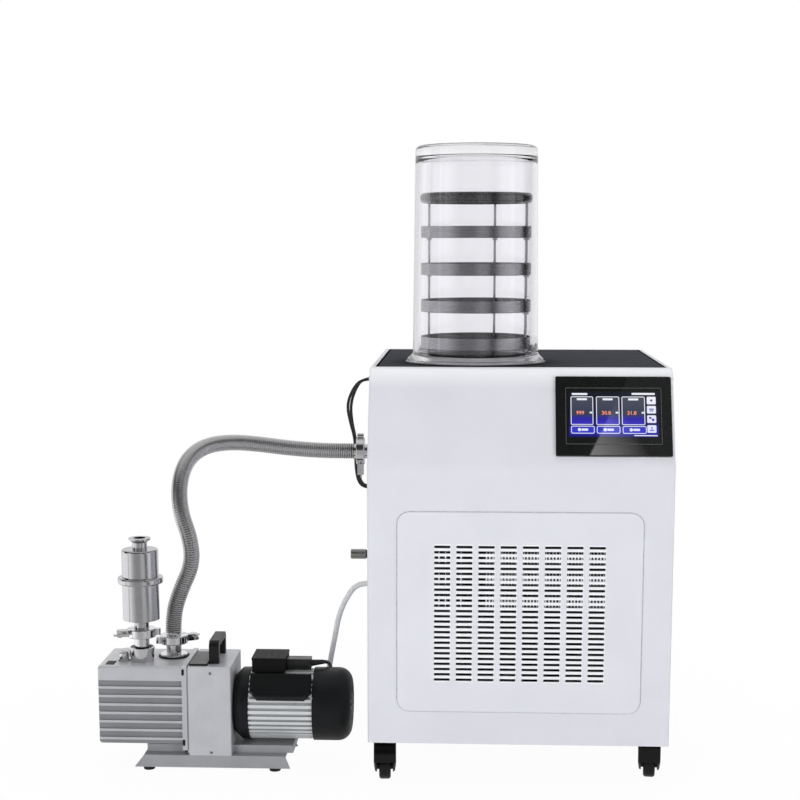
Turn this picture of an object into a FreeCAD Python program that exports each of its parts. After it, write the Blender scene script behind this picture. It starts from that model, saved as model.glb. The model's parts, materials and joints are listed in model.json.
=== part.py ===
import FreeCAD, Part
import math
import os
import re

import Sketcher

# A bench freeze dryer on casters with its two-stage rotary vane pump, in millimetres.
# Frame: +X from the pump towards the cabinet, +Y from the front to the back, +Z up,
# origin on the floor below the middle of the whole set.

SIZES = {
    # the set: pump on the left, cabinet on the right
    "cab_width": 530, "cab_depth": 580, "cab_top": 736, "cab_floor": 77,
    "pump_length": 457, "pump_gap": 36, "pump_y": -165,
    # cabinet sheet metal
    "sheet": 2, "seam": 0.5, "panel_proud": 3, "slope_run": 78, "slope_rise": 165,
    "edge_round": 5, "bend_round": 30, "brow_round": 11, "wrap": 24, "rim": 10, "lip": 8,
    "ledge": 12, "plate_thick": 5, "rear_inset": 10, "pan_height": 30,
    # slotted front panel
    "panel_width": 425, "panel_height": 356, "panel_low": 136, "panel_corner": 22,
    "slot_width": 27.8, "slot_height": 4.7, "slot_step_x": 38.3, "slot_step_z": 9.46,
    "slot_columns": 8, "slot_rows": 26, "slot_low": 192, "window_margin": 9,
    # touch panel on the slope
    "touch_width": 200, "touch_height": 146, "touch_proud": 5, "touch_side": 5,
    "touch_up": 19, "touch_corner": 3, "touch_border": 7, "touch_back": 24,
    "screen_width": 166, "screen_height": 104, "screen_sink": 0.8,
    # drying chamber
    "chamber_x": 186, "chamber_y": 215, "bell_height": 385.5, "bell_foot_r": 124.5,
    "bell_low_r": 114.5, "bell_top_r": 110, "bell_wall": 7, "bell_crown": 19,
    "bell_foot": 4, "bell_flare": 13, "bell_round": 8, "flare_round": 11,
    "seal_r": 128, "seal_inner_r": 106, "seal_height": 2.5,
    "well_r": 88, "well_depth": 190, "well_foam": 12, "well_flange_r": 110, "spigot_r": 6,
    "spigot_long": 14,
    # tray rack
    "rod_d": 4.8, "rod_r": 95, "rod_turn": 68, "rack_ring_in": 90, "rack_ring_out": 101.5,
    "rack_ring_thick": 5, "hoop_in": 91, "hoop_low": 1022, "hoop_high": 18, "hoop_round": 7,
    "tray_r": 100, "tray_wall": 1.2, "tray_high": 21, "tray_step": 66, "tray_low": 762,
    "collar_r": 5, "collar_high": 4, "rod_fit": 0.6,
    # refrigeration
    "compressor_r": 76, "compressor_high": 200, "compressor_x": 392, "compressor_y": 400,
    "compressor_foot": 16, "dome_foot_r": 61, "dome_top_r": 53, "dome_low": 18, "dome_high": 45,
    "dome_round": 12, "mount_inset": 8, "mount_thick": 3, "mount_edge": 12, "mount_r": 9,
    "core_width": 324, "core_high": 123.4, "core_deep": 30, "core_post": 14,
    "core_low": 312.6, "core_y": 16, "fin_step": 7.1, "fin_thick": 1, "tube_high": 10,
    "fin_bands": 3, "fan_r": 112, "fan_hub_r": 34, "fan_gap": 5, "fan_z": 262, "fan_blades": 5,
    "fan_wide": 34, "fan_behind": 2, "fan_plate": 344, "fan_motor_r": 38, "fan_motor_long": 46,
    "fan_strut": 10, "fan_pitch": 28, "shaft_r": 4, "running_fit": 0.05, "hub_long": 15,
    "blade_thick": 2.5, "fan_depth": 44,
    "box_wide": 96, "box_deep": 190, "box_high": 210, "box_z": 440, "box_behind": 60,
    # rear inlet with its rocker
    "inlet_x": 430, "inlet_z": 140, "inlet_wide": 48, "inlet_high": 58, "inlet_deep": 26,
    "inlet_lip": 3, "socket_wide": 24, "socket_high": 17, "rocker_wide": 20, "rocker_back": 3.6,
    "rocker_face": 5.1, "rocker_dip": 1.8,
    "rocker_pin_r": 1.5, "rocker_pin_long": 3, "rocker_pin_room": 4, "rocker_tilt": 8,
    "rocker_hole": 13, "inlet_flange": 4, "socket_floor": 6,
    "vent_from": 148, "vent_rows": 12, "vent_step": 16, "vent_slot": 150, "vent_slot_high": 5,
    "vent_low": 240,
    # casters
    "caster_side": 28, "caster_front": 55, "caster_plate": 46, "caster_plate_thick": 3,
    "king_r": 6, "king_long": 14, "fork_wide": 40, "fork_wall": 4.5, "fork_gap": 0.3,
    "fork_round": 4, "wheel_r": 25, "wheel_wide": 21, "wheel_round": 5, "trail": 16,
    "axle_r": 3.5, "hub_r": 8, "hood_gap": 4.5, "hood_wall": 3.5, "hood_low": 29, "leg_low": 15,
    "leg_half": 9, "hood_back_high": 22, "hood_back_long": 16, "hood_front_long": 9,
    "hood_front_high": 16, "hood_step": 6,
    # fittings on the left side
    "port_y": 300, "port_z": 559, "port_bore_r": 12.5, "port_tube_r": 14, "port_flange_r": 20,
    "port_long": 31, "port_plate_r": 25, "flange_thick": 3, "cone_long": 5, "hose_r": 15,
    "stub_long": 12.5, "clamp_r": 26, "clamp_wide": 16, "clamp_split": 2, "lug_r": 5.5,
    "ear_from": 24, "ear_to": 45, "ear_half": 7, "ear_high": 12, "bolt_r": 3, "bolt_long": 36,
    "bolt_out": 40, "wing_hub_r": 5.5, "wing_hub_long": 8, "wing_span": 26, "wing_gap": 2, "wing_high": 9,
    "wing_thick": 3,
    "vent_z": 361, "vent_y": 290, "vent_r": 8.5, "vent_body": 20, "vent_stem_r": 4,
    "knob_long": 30, "barb_z": 303, "barb_y": 290, "barb_r": 4.2, "barb_seat": 4, "barb_long": 14,
    "gland_r": 7, "gland_long": 9, "cable_r": 2.8, "gland_high_z": 694, "gland_low_z": 484,
    "gland_y": 338, "gland_pitch": 16, "drain_r": 5.2,
    # pump: base, oil box and block
    "base_from": 64, "base_long": 284, "base_wide": 134, "base_low": 8, "base_high": 23,
    "base_sheet": 3, "base_slant": 18, "saddle_from": 84, "saddle_to": 352, "saddle_high": 14,
    "saddle_wide": 92,
    "foot_r": 12, "foot_in": 16, "foot_from": 88, "foot_to": 319, "oil_long": 153, "oil_low": 51,
    "oil_top": 196, "oil_wide": 134, "oil_round": 6, "rib_step": 15.8, "rib_gap": 11.3,
    "rib_deep": 4.5, "rib_low": 47.5, "rib_count": 8, "end_plate": 9, "end_plate_low": 40,
    "block_to": 242, "neck_long": 3, "neck_in": 3, "cover_thick": 2, "block_round": 3,
    "handle_x": 209, "handle_wide": 18, "handle_span": 88, "handle_high": 42, "handle_leg": 13,
    "handle_bar": 11, "handle_round": 12, "boss_x": 36, "boss_y": 28, "boss_r": 16, "boss_high": 7,
    "ballast_x": 40, "ballast_y": -22, "ballast_r": 11.5, "ballast_high": 15, "ballast_seat": 3,
    "exhaust_x": 74, "exhaust_y": -24, "cup_low_r": 21, "cup_top_r": 23.5, "cup_high": 26,
    "neck_r": 13.5, "cup_wall": 3, "cup_sink": 5,
    "filter_r": 33.2, "filter_low": 268, "filter_high": 136,
    "filter_ring_r": 41, "filter_ring_high": 12, "filter_ring_z": 341, "filter_round": 4,
    "filter_cone": 6, "top_neck": 12, "top_flange": 8, "inlet_port_x": 126, "inlet_port_y": 11,
    "port_base_r": 25, "port_base_high": 6, "inlet_port_high": 33, "exhaust_port_high": 53,
    "filter_bore": 11, "ballast_stem_r": 4, "stem_deep": 12,
    # pump: motor
    "motor_z": 112, "motor_r": 66, "shield_from": 242, "shield_to": 272, "shield_neck_r": 52,
    "stator_to": 388, "stator_r": 64.5, "stator_bore_r": 41, "fin_deep": 3.5, "groove_wide": 5,
    "stator_fins": 38, "cowl_r": 67, "cowl_round": 25, "cowl_sheet": 2, "cowl_slots": 14,
    "rotor_r": 40.5, "motor_shaft_r": 9.5, "motor_fan_r": 56, "motor_fan_long": 20,
    "motor_fan_blades": 6, "motor_fan_gap": 8, "bearing": 5, "cowl_slot_from": 22,
    "cowl_slot_to": 42, "cowl_slot_wide": 5, "core_from": 290, "core_to": 376,
    "cap_from": 276, "cap_long": 110, "cap_wide": 46, "cap_out": 81, "cap_seat": 51.6,
    "cap_turn": 40, "cap_bevel": 12, "term_from": 276, "term_long": 62, "term_deep": 68,
    "term_top": 205, "term_lid": 4, "link_long": 44, "link_deep": 30, "link_low": 178.5,
    "link_high": 20, "lead_r": 3.5, "coil_r": 38.5, "coil_x": -330, "coil_y": 30,
    "floor_gap": 0.3, "plug_long": 42, "plug_wide": 36, "plug_high": 17, "plug_pin_r": 2,
    "plug_pin_long": 19, "plug_pin_apart": 19, "sleeve_r": 5, "sleeve_long": 24,
}

# places that several pieces share, as expressions on the sizes
CAB_X = "(pump_length + pump_gap - cab_width) / 2"
PUMP_X = "-(pump_length + pump_gap + cab_width) / 2"
CABINET = (CAB_X, "-cab_depth / 2", "0")
PUMP = (PUMP_X, "pump_y", "0")
FRONT = "panel_proud"
BEND_Z = "(cab_top - slope_rise)"
SLOPE = "sqrt(slope_run * slope_run + slope_rise * slope_rise)"
BELL_Z = "(cab_top + seal_height)"
PLATE_Z = "(cab_top - plate_thick)"
PLATE_Y = f"({FRONT} + slope_run + lip)"
SLOT_SPAN_X = "(slot_step_x * (slot_columns - 1) + slot_width)"
SLOT_SPAN_Z = "(slot_step_z * (slot_rows - 1) + slot_height)"

X_AXIS = FreeCAD.Vector(1, 0, 0)
Y_AXIS = FreeCAD.Vector(0, 1, 0)
Z_AXIS = FreeCAD.Vector(0, 0, 1)
WORD = re.compile(r"[a-z][a-z0-9_]*")
TOUCH = 1e-4

doc = FreeCAD.newDocument("freeze_dryer")
sheet = doc.addObject("Spreadsheet::Sheet", "Sizes")
for row, (name, value) in enumerate(SIZES.items(), start=1):
    sheet.set(f"A{row}", str(value))
    sheet.setAlias(f"A{row}", name)
doc.recompute()
NODES = []


# ---------------------------------------------------------------- small tools

def expr(text):
    """The expression with each size looked up in the sheet."""
    return WORD.sub(lambda m: "Sizes." + m.group() if m.group() in SIZES else m.group(), str(text))


def num(text):
    """The expression's value now."""
    value = sheet.evalExpression(expr(text))
    return float(getattr(value, "Value", value))


def place(thing, spot, axis=Z_AXIS, turn="0"):
    """Put a thing at three expressions, turned about one axis."""
    thing.Placement = FreeCAD.Placement(FreeCAD.Vector(), FreeCAD.Rotation(axis, num(turn)))
    for letter, value in zip("xyz", spot):
        thing.setExpression(f".Placement.Base.{letter}", expr(value))
    if turn != "0":
        thing.setExpression(".Placement.Rotation.Angle", expr(turn))
    return thing


def at(frame, x="0", y="0", z="0"):
    """A place in the cabinet's or the pump's own frame."""
    return tuple(f"({origin}) + ({offset})" for origin, offset in zip(frame, (x, y, z)))


def node(thing, label):
    """Name a finished thing and list it as one of the model's nodes."""
    thing.Label = label
    NODES.append(thing)
    return thing


def body(name, spot=("0", "0", "0"), axis=Z_AXIS, turn="0"):
    made = doc.addObject("PartDesign::Body", name)
    return place(made, spot, axis, turn)


def origin_of(owner, role):
    return next(part for part in owner.Origin.OriginFeatures if part.Role == role)


def sketch(owner, role, lift="0"):
    """A sketch on one of the body's origin planes, moved along that plane's normal."""
    made = owner.newObject("Sketcher::SketchObject", "Outline")
    made.AttachmentSupport = (origin_of(owner, role), [""])
    made.MapMode = "FlatFace"
    if lift != "0":
        made.setExpression(".AttachmentOffset.Base.z", expr(lift))
    return made


def fix(made, geometry, point, u, v):
    """Tie one sketch point to two expressions."""
    for kind, value in (("DistanceX", u), ("DistanceY", v)):
        index = made.addConstraint(Sketcher.Constraint(kind, geometry, point, num(value)))
        made.setExpression(f"Constraints[{index}]", expr(value))


def polygon(made, corners):
    """A closed outline through corners given as pairs of expressions."""
    points = [FreeCAD.Vector(num(u), num(v), 0) for u, v in corners]
    first = made.GeometryCount
    for start, end in zip(points, points[1:] + points[:1]):
        made.addGeometry(Part.LineSegment(start, end), False)
    for k in range(len(points)):
        after = first + (k + 1) % len(points)
        made.addConstraint(Sketcher.Constraint("Coincident", first + k, 2, after, 1))
    for k, (u, v) in enumerate(corners):
        fix(made, first + k, 1, u, v)
    return made


def rectangle(made, u0, v0, u1, v1):
    return polygon(made, [(u0, v0), (u1, v0), (u1, v1), (u0, v1)])


def circle(made, u, v, radius):
    index = made.GeometryCount
    centre = FreeCAD.Vector(num(u), num(v), 0)
    made.addGeometry(Part.Circle(centre, Z_AXIS, num(radius)), False)
    fix(made, index, 3, u, v)
    size = made.addConstraint(Sketcher.Constraint("Radius", index, num(radius)))
    made.setExpression(f"Constraints[{size}]", expr(radius))
    return made


def extrude(owner, kind, profile, length, both=False, reverse=False):
    made = owner.newObject("PartDesign::" + kind, kind)
    made.Profile = (profile, [""])
    made.setExpression("Length", expr(length))
    if both:
        made.SideType = "Symmetric"
    made.Reversed = reverse
    owner.Tip = made
    return made


def pad(owner, profile, length, both=False, reverse=False):
    return extrude(owner, "Pad", profile, length, both, reverse)


def pocket(owner, profile, length, both=False, reverse=False):
    """Cut with a profile, and make sure that it really took something away."""
    doc.recompute()
    before = owner.Tip.Shape.Volume
    made = extrude(owner, "Pocket", profile, length, both, reverse)
    doc.recompute()
    if made.Shape.Volume > before - TOUCH:
        raise RuntimeError(f"{owner.Name}: a pocket cuts nothing")
    return made


def turned(name, profile, spot=("0", "0", "0"), axis=Z_AXIS, turn="0"):
    """A body turned about its own Z axis from (radius, height) corners."""
    owner = body(name, spot, axis, turn)
    made = owner.newObject("PartDesign::Revolution", "Turning")
    made.Profile = (polygon(sketch(owner, "XZ_Plane"), profile), [""])
    made.ReferenceAxis = (made.Profile[0], ["V_Axis"])
    made.Angle = 360
    owner.Tip = made
    return owner


def curve_kind(edge):
    """Type of the edge's curve; a blend's seam has none that can be named."""
    try:
        return edge.Curve.TypeId
    except TypeError:
        return ""


def ring_edge(radius, height):
    """Picks the circle of this radius at this height about the body's own axis."""
    r, z = num(radius), num(height)

    def chosen(edge):
        return (curve_kind(edge) == "Part::GeomCircle" and abs(edge.Curve.Radius - r) < TOUCH
                and abs(edge.Curve.Center.z - z) < TOUCH)
    return chosen


def straight_edge(direction, **spots):
    """Picks straight edges along a direction whose middle has these coordinates."""
    def chosen(edge):
        if curve_kind(edge) != "Part::GeomLine":
            return False
        middle = (edge.Vertexes[0].Point + edge.Vertexes[-1].Point) * 0.5
        along = abs(abs(edge.Curve.Direction.dot(direction)) - 1) < TOUCH
        return along and all(
            any(abs(getattr(middle, letter) - num(value)) < 1e-3 for value in values)
            for letter, values in spots.items())
    return chosen


def fillet(owner, size, *choices):
    """Round every edge that one of the choices picks."""
    doc.recompute()
    base = owner.Tip
    names = [f"Edge{k + 1}" for k, edge in enumerate(base.Shape.Edges)
             if any(chosen(edge) for chosen in choices)]
    if not names:
        raise RuntimeError(f"{owner.Name}: no edge to finish")
    made = owner.newObject("PartDesign::Fillet", "Round")
    made.Base = (base, names)
    made.setExpression("Radius", expr(size))
    owner.Tip = made
    return made


def line_pattern(owner, feature, role, step, count):
    made = owner.newObject("PartDesign::LinearPattern", "Row")
    made.Originals = [feature]
    made.Direction = (origin_of(owner, role), [""])
    made.Mode = "Spacing"
    made.setExpression("Offset", expr(step))
    made.setExpression("Occurrences", expr(count))
    owner.Tip = made
    return made


def ring_pattern(owner, feature, role, count):
    made = owner.newObject("PartDesign::PolarPattern", "Ring")
    made.Originals = [feature]
    made.Axis = (origin_of(owner, role), [""])
    made.Angle = 360
    made.setExpression("Occurrences", expr(count))
    owner.Tip = made
    return made


def solid(kind, spot=("0", "0", "0"), axis=Z_AXIS, turn="0", **sizes):
    """A Part primitive whose properties are bound to expressions."""
    made = doc.addObject("Part::" + kind, kind)
    for name, value in sizes.items():
        made.setExpression(name, expr(value))
    return place(made, spot, axis, turn)


def cut(base, tool):
    made = doc.addObject("Part::Cut", "Cut")
    made.Base, made.Tool = base, tool
    return made


def fuse(*shapes):
    made = doc.addObject("Part::MultiFuse", "Joined")
    made.Shapes = list(shapes)
    made.Refine = True
    return made


def group(*shapes):
    """Separate solids that make one node."""
    made = doc.addObject("Part::Compound", "Group")
    made.Links = list(shapes)
    return made


def arrow(x, y, z):
    return FreeCAD.Vector(x, y, z)


# ---------------------------------------------------------------- cabinet shell

def base_pan():
    """Folded pan that carries the compressor, the fan and the casters."""
    owner = body("base_pan", CABINET)
    rear = "cab_depth - rear_inset - sheet"
    floor = sketch(owner, "XY_Plane", "cab_floor")
    rectangle(floor, "sheet", f"{FRONT} + sheet", "cab_width - sheet", rear)
    pad(owner, floor, "pan_height")
    inside = sketch(owner, "XY_Plane", "cab_floor + pan_height")
    rectangle(inside, "sheet * 2", f"{FRONT} + sheet * 2", "cab_width - sheet * 2",
              f"{rear} - sheet")
    pocket(owner, inside, "pan_height - sheet")
    return node(owner, "base_pan")


def front_cover():
    """Front sheet: upright below, sloped above, with folded sides and a lip round the top."""
    owner = body("front_cover", CABINET)
    side = polygon(sketch(owner, "YZ_Plane"), [
        (FRONT, "cab_floor"), (FRONT, BEND_Z), (f"{FRONT} + slope_run", "cab_top"),
        (f"{FRONT} + slope_run + wrap", "cab_top"), (f"{FRONT} + wrap", BEND_Z),
        (f"{FRONT} + wrap", "cab_floor")])
    pad(owner, side, "cab_width")
    fillet(owner, "bend_round", straight_edge(X_AXIS, y=[FRONT], z=[BEND_Z]))
    fillet(owner, "brow_round",
           straight_edge(X_AXIS, y=[f"{FRONT} + slope_run"], z=["cab_top"]))
    width, floor, bend = num("cab_width"), num("cab_floor"), num(BEND_Z)
    lean = num("slope_run / slope_rise")
    back = num(f"{FRONT} + wrap") - 1

    def outer_side_edge(edge):
        middle = edge.valueAt((edge.FirstParameter + edge.LastParameter) / 2)
        on_side = min(abs(middle.x), abs(middle.x - width)) < TOUCH
        ahead = middle.y - max(0, middle.z - bend) * lean < back
        return on_side and ahead and middle.z > floor + 1

    fillet(owner, "edge_round", outer_side_edge)
    shift = f"(sheet * {SLOPE} / slope_rise)"
    lip_y = f"{FRONT} + slope_run + lip"
    behind = f"{FRONT} + slope_run + wrap + sheet"
    inside = polygon(sketch(owner, "YZ_Plane", "sheet"), [
        (f"{FRONT} + sheet", "cab_floor - 1"), (f"{FRONT} + sheet", BEND_Z),
        (f"{FRONT} + slope_run + {shift} - sheet * slope_run / slope_rise", "cab_top - sheet"),
        (f"{lip_y} - sheet", "cab_top - sheet"), (f"{lip_y} - sheet", f"{PLATE_Z} - sheet"),
        (f"{lip_y} + ledge", f"{PLATE_Z} - sheet"), (f"{lip_y} + ledge", PLATE_Z),
        (behind, PLATE_Z), (behind, "cab_floor - 1")])
    pocket(owner, inside, "cab_width - sheet * 2", reverse=True)
    seat = rectangle(sketch(owner, "XY_Plane", "cab_top"), "rim", lip_y, "cab_width - rim", behind)
    pocket(owner, seat, "plate_thick")
    air = sketch(owner, "XZ_Plane", f"-({FRONT} - 1)")
    rectangle(air, f"(cab_width - {SLOT_SPAN_X}) / 2 - window_margin", "slot_low - window_margin",
              f"(cab_width + {SLOT_SPAN_X}) / 2 + window_margin",
              f"slot_low + {SLOT_SPAN_Z} + window_margin")
    pocket(owner, air, "sheet + 2")
    opening = sketch(owner, "XZ_Plane", f"-({FRONT})")
    left = "cab_width - touch_side - touch_width + touch_border - seam"
    low = f"{BEND_Z} + (touch_up + touch_border - sheet) * slope_rise / {SLOPE}"
    high = f"{BEND_Z} + (touch_up + touch_height - touch_border + seam) * slope_rise / {SLOPE}"
    rectangle(opening, left, low, "cab_width - touch_side - touch_border + seam", high)
    pocket(owner, opening, "slope_run + wrap")
    return node(owner, "front_cover")


def side_blank():
    """Side sheet with its top rim, the ledge for the top plate and the sloped front edge."""
    owner = body("side_blank", CABINET)
    start = f"({FRONT} + wrap)"
    section = polygon(sketch(owner, "XZ_Plane", f"-{start}"), [
        ("0", "cab_floor"), ("0", "cab_top"), ("rim", "cab_top"), ("rim", PLATE_Z),
        ("rim + ledge", PLATE_Z), ("rim + ledge", f"{PLATE_Z} - sheet"),
        ("rim - sheet", f"{PLATE_Z} - sheet"), ("rim - sheet", "cab_top - sheet"),
        ("sheet", "cab_top - sheet"), ("sheet", "cab_floor")])
    pad(owner, section, f"cab_depth - {start}", reverse=True)
    fillet(owner, "edge_round", straight_edge(Y_AXIS, x=["0"], z=["cab_top"]))
    slope = polygon(sketch(owner, "YZ_Plane"), [
        (start, BEND_Z), (f"{start} + slope_run", "cab_top"),
        (f"{start} + slope_run", "cab_top + 1"), (f"{start} - 1", "cab_top + 1"),
        (f"{start} - 1", BEND_Z)])
    pocket(owner, slope, "rim + ledge", reverse=True)
    rear = "cab_depth - rear_inset - sheet"
    back = sketch(owner, "XY_Plane", "cab_top + 1")
    rectangle(back, "sheet", rear, "rim + ledge + 1", "cab_depth + 1")
    pocket(owner, back, "plate_thick + sheet + 2")
    corner = sketch(owner, "XY_Plane", PLATE_Z)
    rectangle(corner, "rim - sheet", f"{rear} - ledge", "rim + ledge + 1", f"{rear} + 1")
    pocket(owner, corner, "sheet + 1")
    return owner


def side_panels():
    blank = side_blank()
    mirror = doc.addObject("Part::Mirroring", "Mirrored")
    mirror.Source = blank
    mirror.Normal = X_AXIS
    mirror.setExpression(".Base.x", expr(f"{CAB_X} + cab_width / 2"))
    node(mirror, "side_panel_right")
    holes = [hole_in_left_side("port_y", "port_z", "port_tube_r"),
             hole_in_left_side("vent_y", "vent_z", "vent_stem_r"),
             hole_in_left_side("barb_y", "barb_z", "barb_r")]
    for z in ("gland_high_z", "gland_low_z"):
        for side in (-1, 1):
            holes.append(hole_in_left_side(f"gland_y + gland_pitch * {side} / 2", z, "cable_r"))
    return node(cut(blank, fuse(*holes)), "side_panel_left")


def hole_in_left_side(y, z, radius):
    return solid("Cylinder", at(CABINET, "-sheet", y, z), Y_AXIS, "90",
                 Radius=radius, Height="sheet * 3")


def rear_panel():
    """Rear sheet, set in from the back edges, with its top rim and air slots."""
    owner = body("rear_panel", CABINET)
    face = "cab_depth - rear_inset"
    inner = f"{face} - sheet"
    section = polygon(sketch(owner, "YZ_Plane", "sheet"), [
        (inner, "cab_floor"), (inner, f"{PLATE_Z} - sheet"), (f"{inner} - ledge", f"{PLATE_Z} - sheet"),
        (f"{inner} - ledge", PLATE_Z), (inner, PLATE_Z), (inner, "cab_top"),
        ("cab_depth", "cab_top"), ("cab_depth", "cab_top - sheet"), (face, "cab_top - sheet"),
        (face, "cab_floor")])
    pad(owner, section, "cab_width - sheet * 2")
    slots = sketch(owner, "XZ_Plane", f"-({face} + 1)")
    for centre in ("vent_from", "cab_width - vent_from"):
        rectangle(slots, f"{centre} - vent_slot / 2", "vent_low", f"{centre} + vent_slot / 2",
                  "vent_low + vent_slot_high")
    first = pocket(owner, slots, "sheet + 2", reverse=True)
    line_pattern(owner, first, "Z_Axis", "vent_step", "vent_rows")
    hole = sketch(owner, "XZ_Plane", f"-({face} + 1)")
    rectangle(hole, "inlet_x - inlet_wide / 2", "inlet_z - inlet_high / 2",
              "inlet_x + inlet_wide / 2", "inlet_z + inlet_high / 2")
    pocket(owner, hole, "sheet + 2", reverse=True)
    return node(owner, "rear_panel")


def top_plate():
    """Charcoal plate with the hole of the cold trap, flush with the rim round it."""
    owner = body("top_plate", CABINET)
    outline = sketch(owner, "XY_Plane", PLATE_Z)
    rectangle(outline, "rim + seam", f"{PLATE_Y} + seam", "cab_width - rim - seam",
              "cab_depth - rear_inset - sheet - seam")
    circle(outline, "chamber_x", "chamber_y", "well_r")
    pad(owner, outline, "plate_thick")
    return node(owner, "top_plate")


def access_panel():
    """Raised front panel with its field of air slots."""
    owner = body("access_panel", CABINET)
    left = "(cab_width - panel_width) / 2"
    outline = sketch(owner, "XZ_Plane", f"-({FRONT})")
    rectangle(outline, left, "panel_low", f"{left} + panel_width", "panel_low + panel_height")
    pad(owner, outline, FRONT)
    fillet(owner, "panel_corner",
           straight_edge(Y_AXIS, x=[left, f"{left} + panel_width"],
                         z=["panel_low", "panel_low + panel_height"]))
    fillet(owner, "panel_proud / 2",
           lambda edge: abs(edge.valueAt(edge.FirstParameter).y) < TOUCH
           and abs(edge.valueAt(edge.LastParameter).y) < TOUCH)
    row = sketch(owner, "XZ_Plane")
    for k in range(round(num("slot_columns"))):
        start = f"(cab_width - {SLOT_SPAN_X}) / 2 + slot_step_x * {k}"
        rectangle(row, start, "slot_low", f"{start} + slot_width", "slot_low + slot_height")
    first = pocket(owner, row, f"{FRONT} + 1")
    line_pattern(owner, first, "Z_Axis", "slot_step_z", "slot_rows")
    return node(owner, "access_panel")


def touch_panel():
    """Touch screen unit, let into the slope near its right end."""
    share = f"touch_up / {SLOPE}"
    spot = at(CABINET, "cab_width - touch_side - touch_width", f"{FRONT} + slope_run * {share}",
              f"{BEND_Z} + slope_rise * {share}")
    owner = body("touch_panel", spot, X_AXIS, "atan(slope_rise / slope_run)")
    front = rectangle(sketch(owner, "XY_Plane"), "0", "0", "touch_width", "touch_height")
    pad(owner, front, "touch_proud")
    fillet(owner, "touch_corner", straight_edge(Z_AXIS))
    top = num("touch_proud")
    fillet(owner, "touch_proud / 3",
           lambda edge: abs(edge.valueAt(edge.FirstParameter).z - top) < TOUCH
           and abs(edge.valueAt(edge.LastParameter).z - top) < TOUCH)
    case = rectangle(sketch(owner, "XY_Plane"), "touch_border", "touch_border",
                     "touch_width - touch_border", "touch_height - touch_border")
    pad(owner, case, "touch_back", reverse=True)
    screen = sketch(owner, "XY_Plane", "touch_proud")
    rectangle(screen, "(touch_width - screen_width) / 2", "(touch_height - screen_height) / 2",
              "(touch_width + screen_width) / 2", "(touch_height + screen_height) / 2")
    pocket(owner, screen, "screen_sink")
    return node(owner, "touch_panel")


# ---------------------------------------------------------------- drying chamber

def chamber_spot(z):
    return at(CABINET, "chamber_x", "chamber_y", z)


def bell_jar():
    """Clear bell with a flared foot and a thick flat crown."""
    bore_low, bore_top = "bell_low_r - bell_wall", "bell_top_r - bell_wall"
    owner = turned("bell_jar", [
        (bore_low, "0"), ("bell_foot_r", "0"), ("bell_foot_r", "bell_foot"),
        ("bell_low_r", "bell_flare"), ("bell_top_r", "bell_height"), ("0", "bell_height"),
        ("0", "bell_height - bell_crown"), (bore_top, "bell_height - bell_crown")],
        chamber_spot(BELL_Z))
    fillet(owner, "bell_round", ring_edge("bell_top_r", "bell_height"))
    fillet(owner, "flare_round", ring_edge("bell_low_r", "bell_flare"))
    fillet(owner, "bell_foot / 3", ring_edge("bell_foot_r", "bell_foot"))
    return node(owner, "bell_jar")


def bell_seal():
    owner = turned("bell_seal", [("seal_inner_r", "0"), ("seal_r", "0"),
                                 ("seal_r", "seal_height"), ("seal_inner_r", "seal_height")],
                   chamber_spot("cab_top"))
    fillet(owner, "seal_height / 4", ring_edge("seal_r", "seal_height"))
    return node(owner, "bell_seal")


def cold_trap():
    """Steel well with its foamed jacket and the drain spigot below."""
    jacket = "well_r + sheet + well_foam"
    low = "-(well_depth + sheet + well_foam)"
    owner = turned("cold_trap", [
        ("well_r", "0"), ("well_flange_r", "0"), ("well_flange_r", "-sheet"), (jacket, "-sheet"),
        (jacket, low), ("spigot_r", low), ("spigot_r", f"{low} - spigot_long"),
        ("spigot_r - sheet", f"{low} - spigot_long"), ("spigot_r - sheet", "-well_depth"),
        ("well_r", "-well_depth")], chamber_spot(PLATE_Z))
    return node(owner, "cold_trap")


RODS = 3
LEVELS = 4
QUARTER = 90


def rod_place(k):
    """X and y of rack rod k from the chamber's axis."""
    turn = f"(rod_turn + {QUARTER * k})"
    return f"rod_r * sin({turn})", f"-rod_r * cos({turn})"


def on_rod(k, z):
    x, y = rod_place(k)
    return at(CABINET, f"chamber_x + {x}", f"chamber_y + {y}", z)


def tray_rack():
    """Three rods on a foot ring, with a collar under each tray, and the dark hoop on top."""
    rods = [solid("Cylinder", on_rod(k, "cab_top"), Radius="rod_d / 2",
                  Height="hoop_low + hoop_high / 2 - cab_top") for k in range(RODS)]
    foot = cut(solid("Cylinder", chamber_spot("cab_top"), Radius="rack_ring_out",
                     Height="rack_ring_thick"),
               solid("Cylinder", chamber_spot("cab_top - 1"), Radius="rack_ring_in",
                     Height="rack_ring_thick + 2"))
    collars = [solid("Cylinder", on_rod(k, f"tray_low + tray_step * {level} - collar_high"),
                     Radius="collar_r", Height="collar_high")
               for k in range(RODS) for level in range(LEVELS)]
    node(fuse(foot, *rods, *collars), "tray_rack")
    hoop = turned("hoop_blank", [
        ("hoop_in", "0"), ("rack_ring_out", "0"), ("rack_ring_out", "hoop_high"),
        ("hoop_in", "hoop_high")], chamber_spot("hoop_low"))
    fillet(hoop, "hoop_round", ring_edge("rack_ring_out", "0"),
           ring_edge("rack_ring_out", "hoop_high"))
    return node(cut(hoop, group(*rods)), "rack_hoop")


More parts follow.
